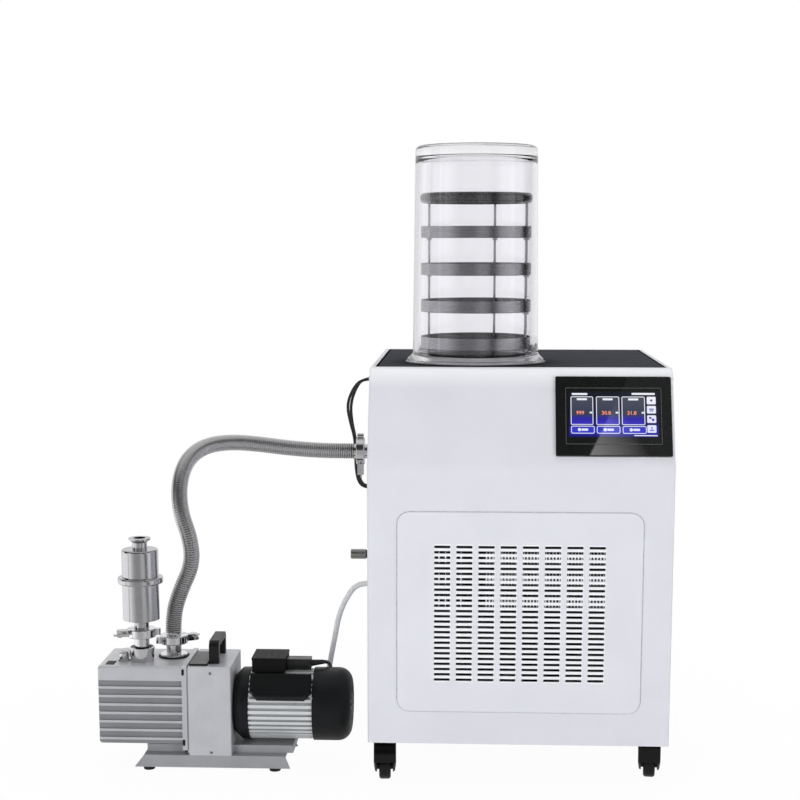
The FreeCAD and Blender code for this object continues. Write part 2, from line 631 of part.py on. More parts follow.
def trays():
    """Four flat trays, each with a hole for every rod."""
    for level in range(LEVELS):
        owner = turned(f"tray_{level + 1}", [
            ("0", "0"), ("tray_r", "0"), ("tray_r", "tray_high"),
            ("tray_r - tray_wall", "tray_high"), ("tray_r - tray_wall", "tray_wall"),
            ("0", "tray_wall")], chamber_spot(f"tray_low + tray_step * {level}"))
        fillet(owner, "tray_wall", ring_edge("tray_r", "0"))
        holes = sketch(owner, "XY_Plane", "tray_wall")
        for k in range(RODS):
            circle(holes, *rod_place(k), "rod_d / 2 + rod_fit")
        pocket(owner, holes, "tray_wall * 2")
        node(owner, f"tray_{level + 1}")


# ---------------------------------------------------------------- refrigeration

PAN_Z = "(cab_floor + sheet)"
CORE_X = "((cab_width - core_width) / 2)"
FAN_Y = "(core_y + core_deep + sheet)"


def compressor():
    """Sealed compressor on its foot plate and four mounts."""
    spot = at(CABINET, "compressor_x", "compressor_y", PAN_Z)
    top = "compressor_foot + compressor_high"
    low, high = "compressor_foot + dome_low", f"{top} - dome_high"
    shell = turned("compressor_shell", [
        ("0", "compressor_foot"), ("dome_foot_r", "compressor_foot"), ("compressor_r", low),
        ("compressor_r", high), ("dome_top_r", top), ("0", top)], spot)
    fillet(shell, "dome_round", ring_edge("compressor_r", low), ring_edge("compressor_r", high),
           ring_edge("dome_top_r", top))
    reach = "(compressor_r - mount_inset)"
    plate = solid("Box", at(CABINET, f"compressor_x - {reach}", f"compressor_y - {reach}",
                            f"{PAN_Z} + compressor_foot - mount_thick"),
                  Length=f"{reach} * 2", Width=f"{reach} * 2", Height="mount_thick")
    mounts = []
    for dx in (-1, 1):
        for dy in (-1, 1):
            mounts.append(solid("Cylinder", at(
                CABINET, f"compressor_x + {dx} * ({reach} - mount_edge)",
                f"compressor_y + {dy} * ({reach} - mount_edge)", PAN_Z),
                Radius="mount_r", Height="compressor_foot - mount_thick"))
    return node(fuse(shell, plate, *mounts), "compressor")


def condenser_core():
    """Finned condenser on two posts behind the air slots."""
    owner = body("condenser_core", CABINET)
    step = "((core_high - tube_high) / fin_bands)"
    frame = sketch(owner, "XZ_Plane", "-core_y")
    rectangle(frame, CORE_X, "core_low", f"{CORE_X} + core_width", "core_low + core_high")
    for k in range(round(num("fin_bands"))):
        rectangle(frame, f"{CORE_X} + core_post", f"core_low + tube_high + {step} * {k}",
                  f"{CORE_X} + core_width - core_post", f"core_low + {step} * {k + 1}")
    pad(owner, frame, "core_deep", reverse=True)
    posts = sketch(owner, "XZ_Plane", "-core_y")
    rectangle(posts, CORE_X, PAN_Z, f"{CORE_X} + core_post", "core_low")
    rectangle(posts, f"{CORE_X} + core_width - core_post", PAN_Z, f"{CORE_X} + core_width",
              "core_low")
    pad(owner, posts, "core_deep", reverse=True)
    fin = sketch(owner, "XZ_Plane", "-(core_y + 1)")
    rectangle(fin, f"{CORE_X} + core_post + fin_step", "core_low + tube_high / 2",
              f"{CORE_X} + core_post + fin_step + fin_thick",
              "core_low + core_high - tube_high / 2")
    first = pad(owner, fin, "core_deep - 2", reverse=True)
    line_pattern(owner, first, "X_Axis", "fin_step",
                 "floor((core_width - core_post * 2) / fin_step) - 1")
    return node(owner, "condenser_core")


def fan():
    """Fan plate with its ring, cross struts and motor, and the turning blades."""
    owner = body("fan_frame", CABINET)
    mid = "cab_width / 2"
    plate = sketch(owner, "XZ_Plane", f"-{FAN_Y}")
    rectangle(plate, f"{mid} - fan_plate / 2", PAN_Z, f"{mid} + fan_plate / 2",
              f"{PAN_Z} + fan_plate")
    circle(plate, mid, "fan_z", "fan_r + fan_gap")
    pad(owner, plate, "sheet", reverse=True)
    ring = sketch(owner, "XZ_Plane", f"-{FAN_Y}")
    circle(ring, mid, "fan_z", "fan_r + fan_gap + sheet * 2")
    circle(ring, mid, "fan_z", "fan_r + fan_gap")
    pad(owner, ring, "fan_depth", reverse=True)
    strut_y = f"{FAN_Y} + fan_depth - fan_strut"
    reach = "(fan_r + fan_gap + sheet)"
    for long, wide in (("1", "0"), ("0", "1")):
        bar = sketch(owner, "XZ_Plane", f"-({strut_y})")
        rectangle(bar, f"{mid} - {reach} * {long} - fan_strut / 2 * {wide}",
                  f"fan_z - {reach} * {wide} - fan_strut / 2 * {long}",
                  f"{mid} + {reach} * {long} + fan_strut / 2 * {wide}",
                  f"fan_z + {reach} * {wide} + fan_strut / 2 * {long}")
        pad(owner, bar, "fan_strut", reverse=True)
    motor = circle(sketch(owner, "XZ_Plane", f"-({strut_y})"), mid, "fan_z", "fan_motor_r")
    pad(owner, motor, "fan_motor_long", reverse=True)
    bore = sketch(owner, "XZ_Plane", f"-({strut_y})")
    circle(bore, mid, "fan_z", "shaft_r + running_fit")
    pocket(owner, bore, "fan_motor_long / 2")
    node(owner, "fan_frame")

    blades = body("fan_blades", at(CABINET, mid, f"{FAN_Y} + sheet + fan_behind", "fan_z"),
                  X_AXIS, "-90")
    hub = circle(sketch(blades, "XY_Plane"), "0", "0", "fan_hub_r")
    pad(blades, hub, "hub_long")
    shaft = circle(sketch(blades, "XY_Plane", "hub_long"), "0", "0", "shaft_r")
    pad(blades, shaft,
        "fan_depth - fan_strut - sheet - fan_behind - hub_long + fan_motor_long / 3")
    rise = "(fan_wide / 2 * tan(fan_pitch))"
    section = polygon(sketch(blades, "YZ_Plane", "fan_hub_r - blade_thick"), [
        ("-fan_wide / 2", f"fan_wide / 2 - {rise}"), ("fan_wide / 2", f"fan_wide / 2 + {rise}"),
        ("fan_wide / 2", f"fan_wide / 2 + {rise} + blade_thick"),
        ("-fan_wide / 2", f"fan_wide / 2 - {rise} + blade_thick")])
    first = pad(blades, section, "fan_r - fan_hub_r + blade_thick")
    ring_pattern(blades, first, "Z_Axis", "fan_blades")
    return node(blades, "fan_blades")


def control_box():
    owner = body("control_box", CABINET)
    rear = "cab_depth - box_behind"
    outline = sketch(owner, "XY_Plane", "box_z")
    rectangle(outline, "cab_width - sheet - box_wide", f"{rear} - box_deep", "cab_width - sheet", rear)
    pad(owner, outline, "box_high")
    fillet(owner, "sheet", straight_edge(Z_AXIS))
    return node(owner, "control_box")


# ---------------------------------------------------------------- rear inlet and rocker

ROCKER_Z = "(inlet_z + inlet_high / 4)"


def power_inlet():
    """Inlet module: a recessed socket below and the opening of the rocker above."""
    owner = body("power_inlet", CABINET)
    face = "(cab_depth - rear_inset)"
    for margin, start, length in (("inlet_flange", face, "inlet_lip"),
                                  ("0", f"{face} - inlet_deep", "inlet_deep")):
        outline = sketch(owner, "XZ_Plane", f"-({start})")
        rectangle(outline, f"inlet_x - inlet_wide / 2 - {margin}",
                  f"inlet_z - inlet_high / 2 - {margin}", f"inlet_x + inlet_wide / 2 + {margin}",
                  f"inlet_z + inlet_high / 2 + {margin}")
        pad(owner, outline, length, reverse=True)
    outer = f"-({face} + inlet_lip)"
    socket = sketch(owner, "XZ_Plane", outer)
    rectangle(socket, "inlet_x - socket_wide / 2", "inlet_z - inlet_high / 4 - socket_high / 2",
              "inlet_x + socket_wide / 2", "inlet_z - inlet_high / 4 + socket_high / 2")
    pocket(owner, socket, "inlet_deep - socket_floor", reverse=True)
    opening = sketch(owner, "XZ_Plane", outer)
    rectangle(opening, "inlet_x - rocker_wide / 2 - seam", f"{ROCKER_Z} - rocker_hole / 2",
              "inlet_x + rocker_wide / 2 + seam", f"{ROCKER_Z} + rocker_hole / 2")
    pocket(owner, opening, "inlet_lip * 4", reverse=True)
    hinge = sketch(owner, "YZ_Plane", "inlet_x - rocker_wide / 2 - rocker_pin_room")
    circle(hinge, face, ROCKER_Z, "rocker_pin_r + running_fit")
    pocket(owner, hinge, "rocker_wide + rocker_pin_room * 2", reverse=True)
    return node(owner, "power_inlet")


def rocker_switch():
    """Rocker with its two pins, tilted to its off side."""
    spot = at(CABINET, "inlet_x", "cab_depth - rear_inset", ROCKER_Z)
    owner = body("rocker_switch", spot, X_AXIS, "rocker_tilt")
    section = polygon(sketch(owner, "YZ_Plane"), [
        ("-inlet_lip", "-rocker_back"), ("inlet_lip", "-rocker_face"), ("rocker_dip", "0"),
        ("inlet_lip", "rocker_face"), ("-inlet_lip", "rocker_back")])
    pad(owner, section, "rocker_wide", both=True)
    pins = circle(sketch(owner, "YZ_Plane"), "0", "0", "rocker_pin_r")
    pad(owner, pins, "rocker_wide + rocker_pin_long * 2", both=True)
    return node(owner, "rocker_switch")


# ---------------------------------------------------------------- casters

CASTERS = [
    ("front_left", "caster_side", "caster_front", "93"),
    ("front_right", "cab_width - caster_side", "caster_front", "264"),
    ("rear_left", "caster_side", "cab_depth - caster_front", "84"),
    ("rear_right", "cab_width - caster_side", "cab_depth - caster_front", "97"),
]


def caster_plates():
    """Four top plates with their king pins, under the corners of the pan."""
    pieces = []
    low = "cab_floor - caster_plate_thick"
    for _, x, y, _ in CASTERS:
        plate = solid("Box", at(CABINET, f"{x} - caster_plate / 2", f"{y} - caster_plate / 2", low),
                      Length="caster_plate", Width="caster_plate", Height="caster_plate_thick")
        pin = solid("Cylinder", at(CABINET, x, y, f"{low} - king_long"),
                    Radius="king_r", Height="king_long")
        pieces.append(fuse(plate, pin))
    return node(group(*pieces), "caster_plates")


def caster(name, x, y, turn):
    """One hooded fork with its axle, and its wheel behind the king pin."""
    spot = at(CABINET, x, y, "0")
    fork = body(f"fork_{name}", spot, Z_AXIS, turn)
    top = "(cab_floor - caster_plate_thick - fork_gap)"
    reach = "(wheel_r + hood_gap + hood_wall)"
    side = polygon(sketch(fork, "XZ_Plane"), [
        (f"-trail - {reach}", "hood_low"), (f"-trail - {reach}", f"{top} - hood_back_high"),
        (f"-trail - {reach} + hood_back_long", top), ("king_r + hood_front_long", top),
        (f"{reach} - trail", f"{top} - hood_front_high"), (f"{reach} - trail", "hood_low + hood_step"),
        ("-trail + leg_half", "leg_low"), ("-trail - leg_half", "leg_low")])
    pad(fork, side, "fork_wide", both=True)
    fillet(fork, "fork_round", lambda edge: curve_kind(edge) == "Part::GeomLine"
           and edge.valueAt(edge.LastParameter / 2 + edge.FirstParameter / 2).z
           > num("leg_low") + 1)
    inside = sketch(fork, "XZ_Plane")
    circle(inside, "-trail", "wheel_r", "wheel_r + hood_gap")
    pocket(fork, inside, "fork_wide - fork_wall * 2", both=True)
    king = circle(sketch(fork, "XY_Plane", top), "0", "0", "king_r + running_fit")
    pocket(fork, king, "king_long")
    axle = circle(sketch(fork, "XZ_Plane"), "-trail", "wheel_r", "axle_r")
    pad(fork, axle, "fork_wide - fork_wall", both=True)
    node(fork, f"caster_fork_{name}")

    hub = "(fork_wide / 2 - fork_wall - fork_gap)"
    angle = math.radians(num(turn))
    across = arrow(math.cos(angle), math.sin(angle), 0)
    wheel = turned(f"wheel_{name}", [
        ("axle_r + running_fit", f"-{hub}"), ("hub_r", f"-{hub}"), ("hub_r", "-wheel_wide / 2"),
        ("wheel_r", "-wheel_wide / 2"), ("wheel_r", "wheel_wide / 2"),
        ("hub_r", "wheel_wide / 2"), ("hub_r", hub), ("axle_r + running_fit", hub)],
        at(CABINET, f"{x} - trail * cos({turn})", f"{y} - trail * sin({turn})", "wheel_r"),
        across, "90")
    fillet(wheel, "wheel_round", ring_edge("wheel_r", "wheel_wide / 2"),
           ring_edge("wheel_r", "-wheel_wide / 2"))
    return node(wheel, f"caster_wheel_{name}")


# ---------------------------------------------------------------- left side fittings

OUTWARD = (Y_AXIS, "-90")


def vacuum_port():
    """Flanged port of the chamber, through the left side."""
    owner = turned("vacuum_port", [
        ("port_bore_r", "-sheet * 4"), ("port_tube_r", "-sheet * 4"), ("port_tube_r", "0"),
        ("port_plate_r", "0"), ("port_plate_r", "flange_thick"), ("port_tube_r", "flange_thick"),
        ("port_tube_r", "port_long - flange_thick - cone_long"),
        ("port_flange_r", "port_long - flange_thick"), ("port_flange_r", "port_long"),
        ("port_bore_r", "port_long")], at(CABINET, "0", "port_y", "port_z"), *OUTWARD)
    return node(owner, "vacuum_port")


def hose_flange(spot, axis=Z_AXIS, turn="0"):
    return turned("hose_flange", [
        ("port_bore_r", "0"), ("port_flange_r", "0"), ("port_flange_r", "flange_thick"),
        ("port_tube_r", "flange_thick + cone_long"), ("port_tube_r", "stub_long"),
        ("port_bore_r", "stub_long")], spot, axis, turn)


def hose_flanges():
    """The two flanged ends of the hose."""
    upper = hose_flange(at(CABINET, "-port_long", "port_y", "port_z"), *OUTWARD)
    lower = hose_flange(at(PUMP, "inlet_port_x", "inlet_port_y", "oil_top + inlet_port_high"))
    return node(group(upper, lower), "hose_flanges")


def clamp(spot, axis, turn):
    """Clamp ring with a tapered groove, hinge lug, ears, bolt and wing nut."""
    inner, groove = "port_tube_r + running_fit", "port_flange_r + running_fit"
    owner = turned("clamp", [
        (inner, "-clamp_wide / 2"), ("clamp_r", "-clamp_wide / 2"), ("clamp_r", "clamp_wide / 2"),
        (inner, "clamp_wide / 2"), (groove, "flange_thick"), (groove, "-flange_thick")],
        spot, axis, turn)
    fillet(owner, "sheet", ring_edge("clamp_r", "clamp_wide / 2"),
           ring_edge("clamp_r", "-clamp_wide / 2"))
    ears = sketch(owner, "XY_Plane")
    rectangle(ears, "ear_from", "-ear_half", "ear_to", "ear_half")
    circle(ears, "-(clamp_r + lug_r / 2)", "0", "lug_r")
    pad(owner, ears, "ear_high", both=True)
    split = sketch(owner, "XY_Plane")
    rectangle(split, "port_bore_r", "-clamp_split / 2", "ear_to + 1", "clamp_split / 2")
    pocket(owner, split, "clamp_wide", both=True)
    bolt = circle(sketch(owner, "XZ_Plane"), "bolt_out", "0", "bolt_r")
    pad(owner, bolt, "bolt_long", both=True)
    nut_y = "-ear_half"
    hub = circle(sketch(owner, "XZ_Plane", nut_y), "bolt_out", "0", "wing_hub_r")
    pad(owner, hub, "wing_hub_long", reverse=True)
    wings = sketch(owner, "XZ_Plane", f"{nut_y} - wing_gap")
    rectangle(wings, "bolt_out - wing_span / 2", "-wing_thick / 2",
              "bolt_out + wing_span / 2", "wing_thick / 2")
    pad(owner, wings, "wing_high", reverse=True)
    fillet(owner, "wing_high / 3", straight_edge(
        Z_AXIS, x=["bolt_out - wing_span / 2", "bolt_out + wing_span / 2"],
        y=["ear_half + wing_gap + wing_high"]))
    return owner


def kf_clamps():
    """The clamps of the cabinet port, the mist filter and the pump inlet."""
    clamps = [
        clamp(at(CABINET, "-port_long", "port_y", "port_z"), Y_AXIS, "90"),
        clamp(at(PUMP, "exhaust_x", "exhaust_y", "oil_top + exhaust_port_high"), Z_AXIS, "196"),
        clamp(at(PUMP, "inlet_port_x", "inlet_port_y", "oil_top + inlet_port_high"), Z_AXIS, "28"),
    ]
    return node(group(*clamps), "kf_clamps")


def side_fittings():
    """Vent valve body, four cable glands and the barb of the drain."""
    vent = turned("vent_body", [
        ("vent_stem_r + running_fit", "0"), ("vent_r", "0"), ("vent_r", "vent_body"),
        ("vent_stem_r + running_fit", "vent_body")], at(CABINET, "0", "vent_y", "vent_z"), *OUTWARD)
    barb = turned("drain_barb", [
        ("barb_r / 2", "-sheet * 4"), ("barb_r", "-sheet * 4"), ("barb_r", "0"), ("gland_r", "0"),
        ("gland_r", "barb_seat"), ("barb_r", "barb_seat"), ("barb_r", "barb_seat + barb_long"),
        ("barb_r / 2", "barb_seat + barb_long")], at(CABINET, "0", "barb_y", "barb_z"), *OUTWARD)
    pieces = [vent, barb]
    for z in ("gland_high_z", "gland_low_z"):
        for side in (-1, 1):
            spot = at(CABINET, "0", f"gland_y + gland_pitch * {side} / 2", z)
            gland = turned("gland", [("0", "0"), ("gland_r", "0"), ("gland_r", "gland_long"),
                                     ("0", "gland_long")], spot, *OUTWARD)
            fillet(gland, "sheet", ring_edge("gland_r", "gland_long"))
            pieces.append(gland)
    return node(group(*pieces), "side_fittings")


def vent_knob():
    """Knob of the vent valve, on its stem."""
    owner = turned("vent_knob", [
        ("0", "-sheet * 2"), ("vent_stem_r", "-sheet * 2"), ("vent_stem_r", "vent_body + seam"),
        ("vent_r + 1", "vent_body + seam"), ("vent_r + 1", "vent_body + knob_long"),
        ("0", "vent_body + knob_long")], at(CABINET, "0", "vent_y", "vent_z"), *OUTWARD)
    fillet(owner, "sheet", ring_edge("vent_r + 1", "vent_body + knob_long"),
           ring_edge("vent_r + 1", "vent_body + seam"))
    return node(owner, "vent_knob")


# ---------------------------------------------------------------- pump

OIL_Y = "(oil_wide / 2)"
BASE_TOP = "(base_low + base_high)"


def pump_base():
    """Inverted channel with slanted ends, and the saddles that carry oil box and motor."""
    owner = body("pump_base", PUMP)
    side = polygon(sketch(owner, "XZ_Plane"), [
        ("base_from", "base_low"), ("base_from + base_long", "base_low"),
        ("base_from + base_long - base_slant / 2", BASE_TOP), ("base_from + base_slant", BASE_TOP)])
    pad(owner, side, "base_wide", both=True)
    hollow = sketch(owner, "YZ_Plane", "base_from - 1")
    rectangle(hollow, "-base_wide / 2 + base_sheet", "base_low - 1",
              "base_wide / 2 - base_sheet", f"{BASE_TOP} - base_sheet")
    pocket(owner, hollow, "base_long + 2", reverse=True)
    saddles = sketch(owner, "XZ_Plane")
    for start, end in (("saddle_from", "oil_long"), ("block_to", "saddle_to")):
        rectangle(saddles, start, BASE_TOP, end, f"{BASE_TOP} + saddle_high")
    pad(owner, saddles, "saddle_wide", both=True)
    return node(owner, "pump_base")


def pump_feet():
    """Four rubber feet with their screws into the base."""
    feet = []
    for x in ("foot_from", "foot_to"):
        for side in (-1, 1):
            spot = at(PUMP, x, f"{side} * (base_wide / 2 - foot_in)", "0")
            foot = turned("foot", [
                ("0", "0"), ("foot_r - sheet", "0"), ("foot_r", "base_low"), ("sheet", "base_low"),
                ("sheet", f"{BASE_TOP} - base_sheet"), ("0", f"{BASE_TOP} - base_sheet")], spot)
            feet.append(foot)
    return node(group(*feet), "pump_feet")


def oil_box():
    """Ribbed oil box with its end plate, filler cap and the recess of the exhaust cup."""
    owner = body("oil_box", PUMP)
    section = rectangle(sketch(owner, "YZ_Plane"), f"-{OIL_Y}", "oil_low", OIL_Y, "oil_top")
    pad(owner, section, "oil_long")
    fillet(owner, "oil_round", straight_edge(X_AXIS, y=[f"-{OIL_Y}", OIL_Y], z=["oil_top"]),
           straight_edge(Y_AXIS, x=["0"]), straight_edge(Z_AXIS, x=["0"]))
    groove = sketch(owner, "YZ_Plane", "-1")
    for inner, outer in ((f"-{OIL_Y} + rib_deep", f"-{OIL_Y} - 1"),
                         (f"{OIL_Y} - rib_deep", f"{OIL_Y} + 1")):
        rectangle(groove, inner, "rib_low", outer, "rib_low + rib_gap")
    first = pocket(owner, groove, "oil_long + 1", reverse=True)
    line_pattern(owner, first, "Z_Axis", "rib_step", "rib_count")
    plate = rectangle(sketch(owner, "YZ_Plane", "oil_long"), f"-{OIL_Y}", "end_plate_low",
                      OIL_Y, "oil_top + 1")
    pad(owner, plate, "end_plate")
    cap = circle(sketch(owner, "XY_Plane", "oil_top"), "boss_x", "boss_y", "boss_r")
    pad(owner, cap, "boss_high")
    fillet(owner, "boss_high / 2", ring_edge("boss_r", "oil_top + boss_high"))
    recess = circle(sketch(owner, "XY_Plane", "oil_top"), "exhaust_x", "exhaust_y",
                    "cup_low_r - cup_wall")
    pocket(owner, recess, "cup_sink")
    stem = circle(sketch(owner, "XY_Plane", "oil_top"), "ballast_x", "ballast_y",
                  "ballast_stem_r + running_fit")
    pocket(owner, stem, "stem_deep")
    return node(owner, "oil_box")


def pump_block():
    """Pump block behind a narrow neck, with its front cover and the shaft bearing."""
    owner = body("pump_block", PUMP)
    start = "(oil_long + end_plate)"
    neck = rectangle(sketch(owner, "YZ_Plane", start), f"-{OIL_Y} + neck_in",
                     f"{BASE_TOP} + neck_in", f"{OIL_Y} - neck_in", "oil_top - neck_in")
    pad(owner, neck, "neck_long")
    block = rectangle(sketch(owner, "YZ_Plane", f"{start} + neck_long"),
                      f"-{OIL_Y} + cover_thick", BASE_TOP, OIL_Y, "oil_top")
    pad(owner, block, f"block_to - {start} - neck_long")
    cover = rectangle(sketch(owner, "XZ_Plane", f"{OIL_Y} - cover_thick"),
                      f"{start} + neck_long", BASE_TOP, "block_to", "oil_top")
    pad(owner, cover, "cover_thick")
    fillet(owner, "block_round", straight_edge(Z_AXIS, x=["block_to"], y=[f"-{OIL_Y}", OIL_Y]),
           straight_edge(X_AXIS, y=[f"-{OIL_Y}", OIL_Y], z=["oil_top"]))
    bearing = circle(sketch(owner, "YZ_Plane", "block_to"), "0", "motor_z",
                     "motor_shaft_r + running_fit")
    pocket(owner, bearing, "(block_to - oil_long) / 3")
    return node(owner, "pump_block")


def pump_handle():
    """Carrying handle across the top of the block."""
    owner = body("pump_handle", PUMP)
    half = "(handle_span / 2)"
    top = "(oil_top + handle_high)"
    profile = polygon(sketch(owner, "YZ_Plane", "handle_x"), [
        (f"-{half}", "oil_top"), (f"-{half}", top), (half, top), (half, "oil_top"),
        (f"{half} - handle_leg", "oil_top"), (f"{half} - handle_leg", f"{top} - handle_bar"),
        (f"-{half} + handle_leg", f"{top} - handle_bar"), (f"-{half} + handle_leg", "oil_top")])
    pad(owner, profile, "handle_wide", both=True)
    fillet(owner, "handle_round", straight_edge(X_AXIS, y=[f"-{half}", half], z=[top]))
    fillet(owner, "handle_round / 2", straight_edge(
        X_AXIS, y=[f"{half} - handle_leg", f"-{half} + handle_leg"], z=[f"{top} - handle_bar"]))
    return node(owner, "pump_handle")


def ballast_knob():
    """Gas ballast knob on its stem."""
    spot = at(PUMP, "ballast_x", "ballast_y", "oil_top")
    owner = turned("ballast_knob", [
        ("0", "2 - stem_deep"), ("ballast_stem_r", "2 - stem_deep"), ("ballast_stem_r", "seam"),
        ("ballast_r", "seam"), ("ballast_r", "ballast_seat"),
        ("ballast_r - sheet", "ballast_seat"), ("ballast_r - sheet", "ballast_high"),
        ("0", "ballast_high")], spot)
    fillet(owner, "sheet", ring_edge("ballast_r - sheet", "ballast_high"))
    grip = sketch(owner, "XY_Plane", "ballast_high")
    rectangle(grip, "-ballast_r", "-sheet * 3", "ballast_r", "-sheet")
    rectangle(grip, "-ballast_r", "sheet", "ballast_r", "sheet * 3")
    pocket(owner, grip, "ballast_high / 3")
    return node(owner, "ballast_knob")


def pump_ports():
    """Exhaust cup with its flanged neck, and the flanged inlet port."""
    neck_top = "exhaust_port_high"
    exhaust = turned("exhaust_port", [
        ("filter_bore - 1", "-cup_sink"), ("cup_low_r - cup_wall", "-cup_sink"),
        ("cup_low_r - cup_wall", "0"), ("cup_low_r", "0"), ("cup_top_r", "cup_high"),
        ("cup_top_r - cup_wall", "cup_high"), ("cup_top_r - cup_wall", "cup_high - cup_sink"),
        ("neck_r", "cup_high - cup_sink"), ("neck_r", f"{neck_top} - flange_thick - cone_long"),
        ("port_flange_r", f"{neck_top} - flange_thick"), ("port_flange_r", neck_top),
        ("filter_bore - 1", neck_top)], at(PUMP, "exhaust_x", "exhaust_y", "oil_top"))
    inlet = turned("inlet_port", [
        ("port_bore_r", "0"), ("port_base_r", "0"), ("port_base_r", "port_base_high"),
        ("port_tube_r", "port_base_high"),
        ("port_tube_r", "inlet_port_high - flange_thick - cone_long"),
        ("port_flange_r", "inlet_port_high - flange_thick"), ("port_flange_r", "inlet_port_high"),
        ("port_bore_r", "inlet_port_high")], at(PUMP, "inlet_port_x", "inlet_port_y", "oil_top"))
    fillet(inlet, "sheet", ring_edge("port_base_r", "port_base_high"))
    return node(group(exhaust, inlet), "pump_ports")


def mist_filter():
    """Steel mist filter: flanged neck, two cylinder halves with their ring, outlet on top."""
    low = "(filter_low - oil_top - exhaust_port_high)"
    top = f"({low} + filter_high)"
    ring = "(filter_ring_z - oil_top - exhaust_port_high)"
    owner = turned("mist_filter", [
        ("filter_bore", "0"), ("port_flange_r", "0"), ("port_flange_r", "flange_thick"),
        ("neck_r", "flange_thick + cone_long"), ("neck_r", low),
        ("filter_r", f"{low} + filter_cone"), ("filter_r", ring), ("filter_ring_r", ring),
        ("filter_ring_r", f"{ring} + filter_ring_high"), ("filter_r", f"{ring} + filter_ring_high"),
        ("filter_r", top), ("neck_r", top), ("neck_r", f"{top} + top_neck"),
        ("port_flange_r", f"{top} + top_neck + cone_long"),
        ("port_flange_r", f"{top} + top_neck + top_flange"),
        ("filter_bore", f"{top} + top_neck + top_flange")],
        at(PUMP, "exhaust_x", "exhaust_y", "oil_top + exhaust_port_high"))
    fillet(owner, "filter_round", ring_edge("filter_r", top))
    fillet(owner, "filter_ring_high / 4", ring_edge("filter_ring_r", ring),
           ring_edge("filter_ring_r", f"{ring} + filter_ring_high"))
    return node(owner, "mist_filter")


# ---------------------------------------------------------------- pump motor

MOTOR = at(PUMP, "0", "0", "motor_z")
ALONG = (Y_AXIS, "90")


def motor_end_shield():
    """Domed end shield that joins motor and block."""
    owner = turned("motor_end_shield", [
        ("stator_bore_r", "shield_from"), ("shield_neck_r", "shield_from"),
        ("motor_r", "shield_from + (motor_r - shield_neck_r)"), ("motor_r", "shield_to"),
        ("stator_bore_r", "shield_to")], MOTOR, *ALONG)
    fillet(owner, "(motor_r - shield_neck_r) / 2",
           ring_edge("motor_r", "shield_from + (motor_r - shield_neck_r)"))
    return node(owner, "motor_end_shield")


def motor_stator():
    """Finned stator with the rear bearing plate."""
    bore = "motor_shaft_r + running_fit"
    owner = turned("motor_stator", [
        ("stator_bore_r", "shield_to"), ("stator_r", "shield_to"), ("stator_r", "stator_to"),
        (bore, "stator_to"), (bore, "stator_to - bearing"), ("stator_bore_r", "stator_to - bearing")],
        MOTOR, *ALONG)
    groove = sketch(owner, "XY_Plane", "shield_to")
    rectangle(groove, "stator_r - fin_deep", "-groove_wide / 2", "stator_r + 1", "groove_wide / 2")
    first = pocket(owner, groove, "stator_to - shield_to", reverse=True)
    ring_pattern(owner, first, "Z_Axis", "stator_fins")
    return node(owner, "motor_stator")


def motor_cowl():
    """Fan cowl with air slots in its end."""
    inner = "(cowl_r - cowl_sheet)"
    owner = turned("motor_cowl", [
        (inner, "stator_to"), ("cowl_r", "stator_to"), ("cowl_r", "pump_length"),
        ("0", "pump_length"), ("0", "pump_length - cowl_sheet"),
        (inner, "pump_length - cowl_sheet")], MOTOR, *ALONG)
    fillet(owner, "cowl_round", ring_edge("cowl_r", "pump_length"))
    fillet(owner, "cowl_round - cowl_sheet", ring_edge(inner, "pump_length - cowl_sheet"))
    slot = sketch(owner, "XY_Plane", "pump_length + 1")
    rectangle(slot, "cowl_slot_from", "-cowl_slot_wide / 2", "cowl_slot_to", "cowl_slot_wide / 2")
    first = pocket(owner, slot, "cowl_sheet * 2 + 1")
    ring_pattern(owner, first, "Z_Axis", "cowl_slots")
    return node(owner, "motor_cowl")


def motor_rotor():
    """Shaft, rotor core and the cooling fan under the cowl."""
    fan_from = "(stator_to + motor_fan_gap)"
    owner = turned("motor_rotor", [
        ("0", "block_to - (block_to - oil_long) / 4"),
        ("motor_shaft_r", "block_to - (block_to - oil_long) / 4"), ("motor_shaft_r", "core_from"),
        ("rotor_r", "core_from"), ("rotor_r", "core_to"), ("motor_shaft_r", "core_to"),
        ("motor_shaft_r", f"{fan_from} + motor_fan_long"), ("0", f"{fan_from} + motor_fan_long")],
        MOTOR, *ALONG)
    disc = circle(sketch(owner, "XY_Plane", fan_from), "0", "0", "motor_fan_r")
    pad(owner, disc, "cowl_sheet")
    blade = sketch(owner, "XY_Plane", fan_from)
    rectangle(blade, "motor_shaft_r - 1", "-cowl_sheet / 2", "motor_fan_r - 1", "cowl_sheet / 2")
    first = pad(owner, blade, "motor_fan_long")
    ring_pattern(owner, first, "Z_Axis", "motor_fan_blades")
    return node(owner, "motor_rotor")


def stator_envelope():
    return solid("Cylinder", at(MOTOR, "shield_to - 1"), *ALONG,
                 Radius="stator_r", Height="stator_to - shield_to + 2")


def capacitor_housing():
    """Housing with bevelled ends on the upper front of the stator."""
    owner = body("capacitor_blank", MOTOR, X_AXIS, "-cap_turn")
    outline = polygon(sketch(owner, "XZ_Plane", "cap_seat"), [
        ("cap_from", "-cap_wide / 2 + cap_bevel"), ("cap_from + cap_bevel", "-cap_wide / 2"),
        ("cap_from + cap_long - cap_bevel", "-cap_wide / 2"),
        ("cap_from + cap_long", "-cap_wide / 2 + cap_bevel"),
        ("cap_from + cap_long", "cap_wide / 2"), ("cap_from", "cap_wide / 2")])
    pad(owner, outline, "cap_out - cap_seat")
    fillet(owner, "cap_bevel / 3",
           straight_edge(X_AXIS, y=["-cap_out"], z=["-cap_wide / 2", "cap_wide / 2"]))
    return node(cut(owner, stator_envelope()), "capacitor_housing")


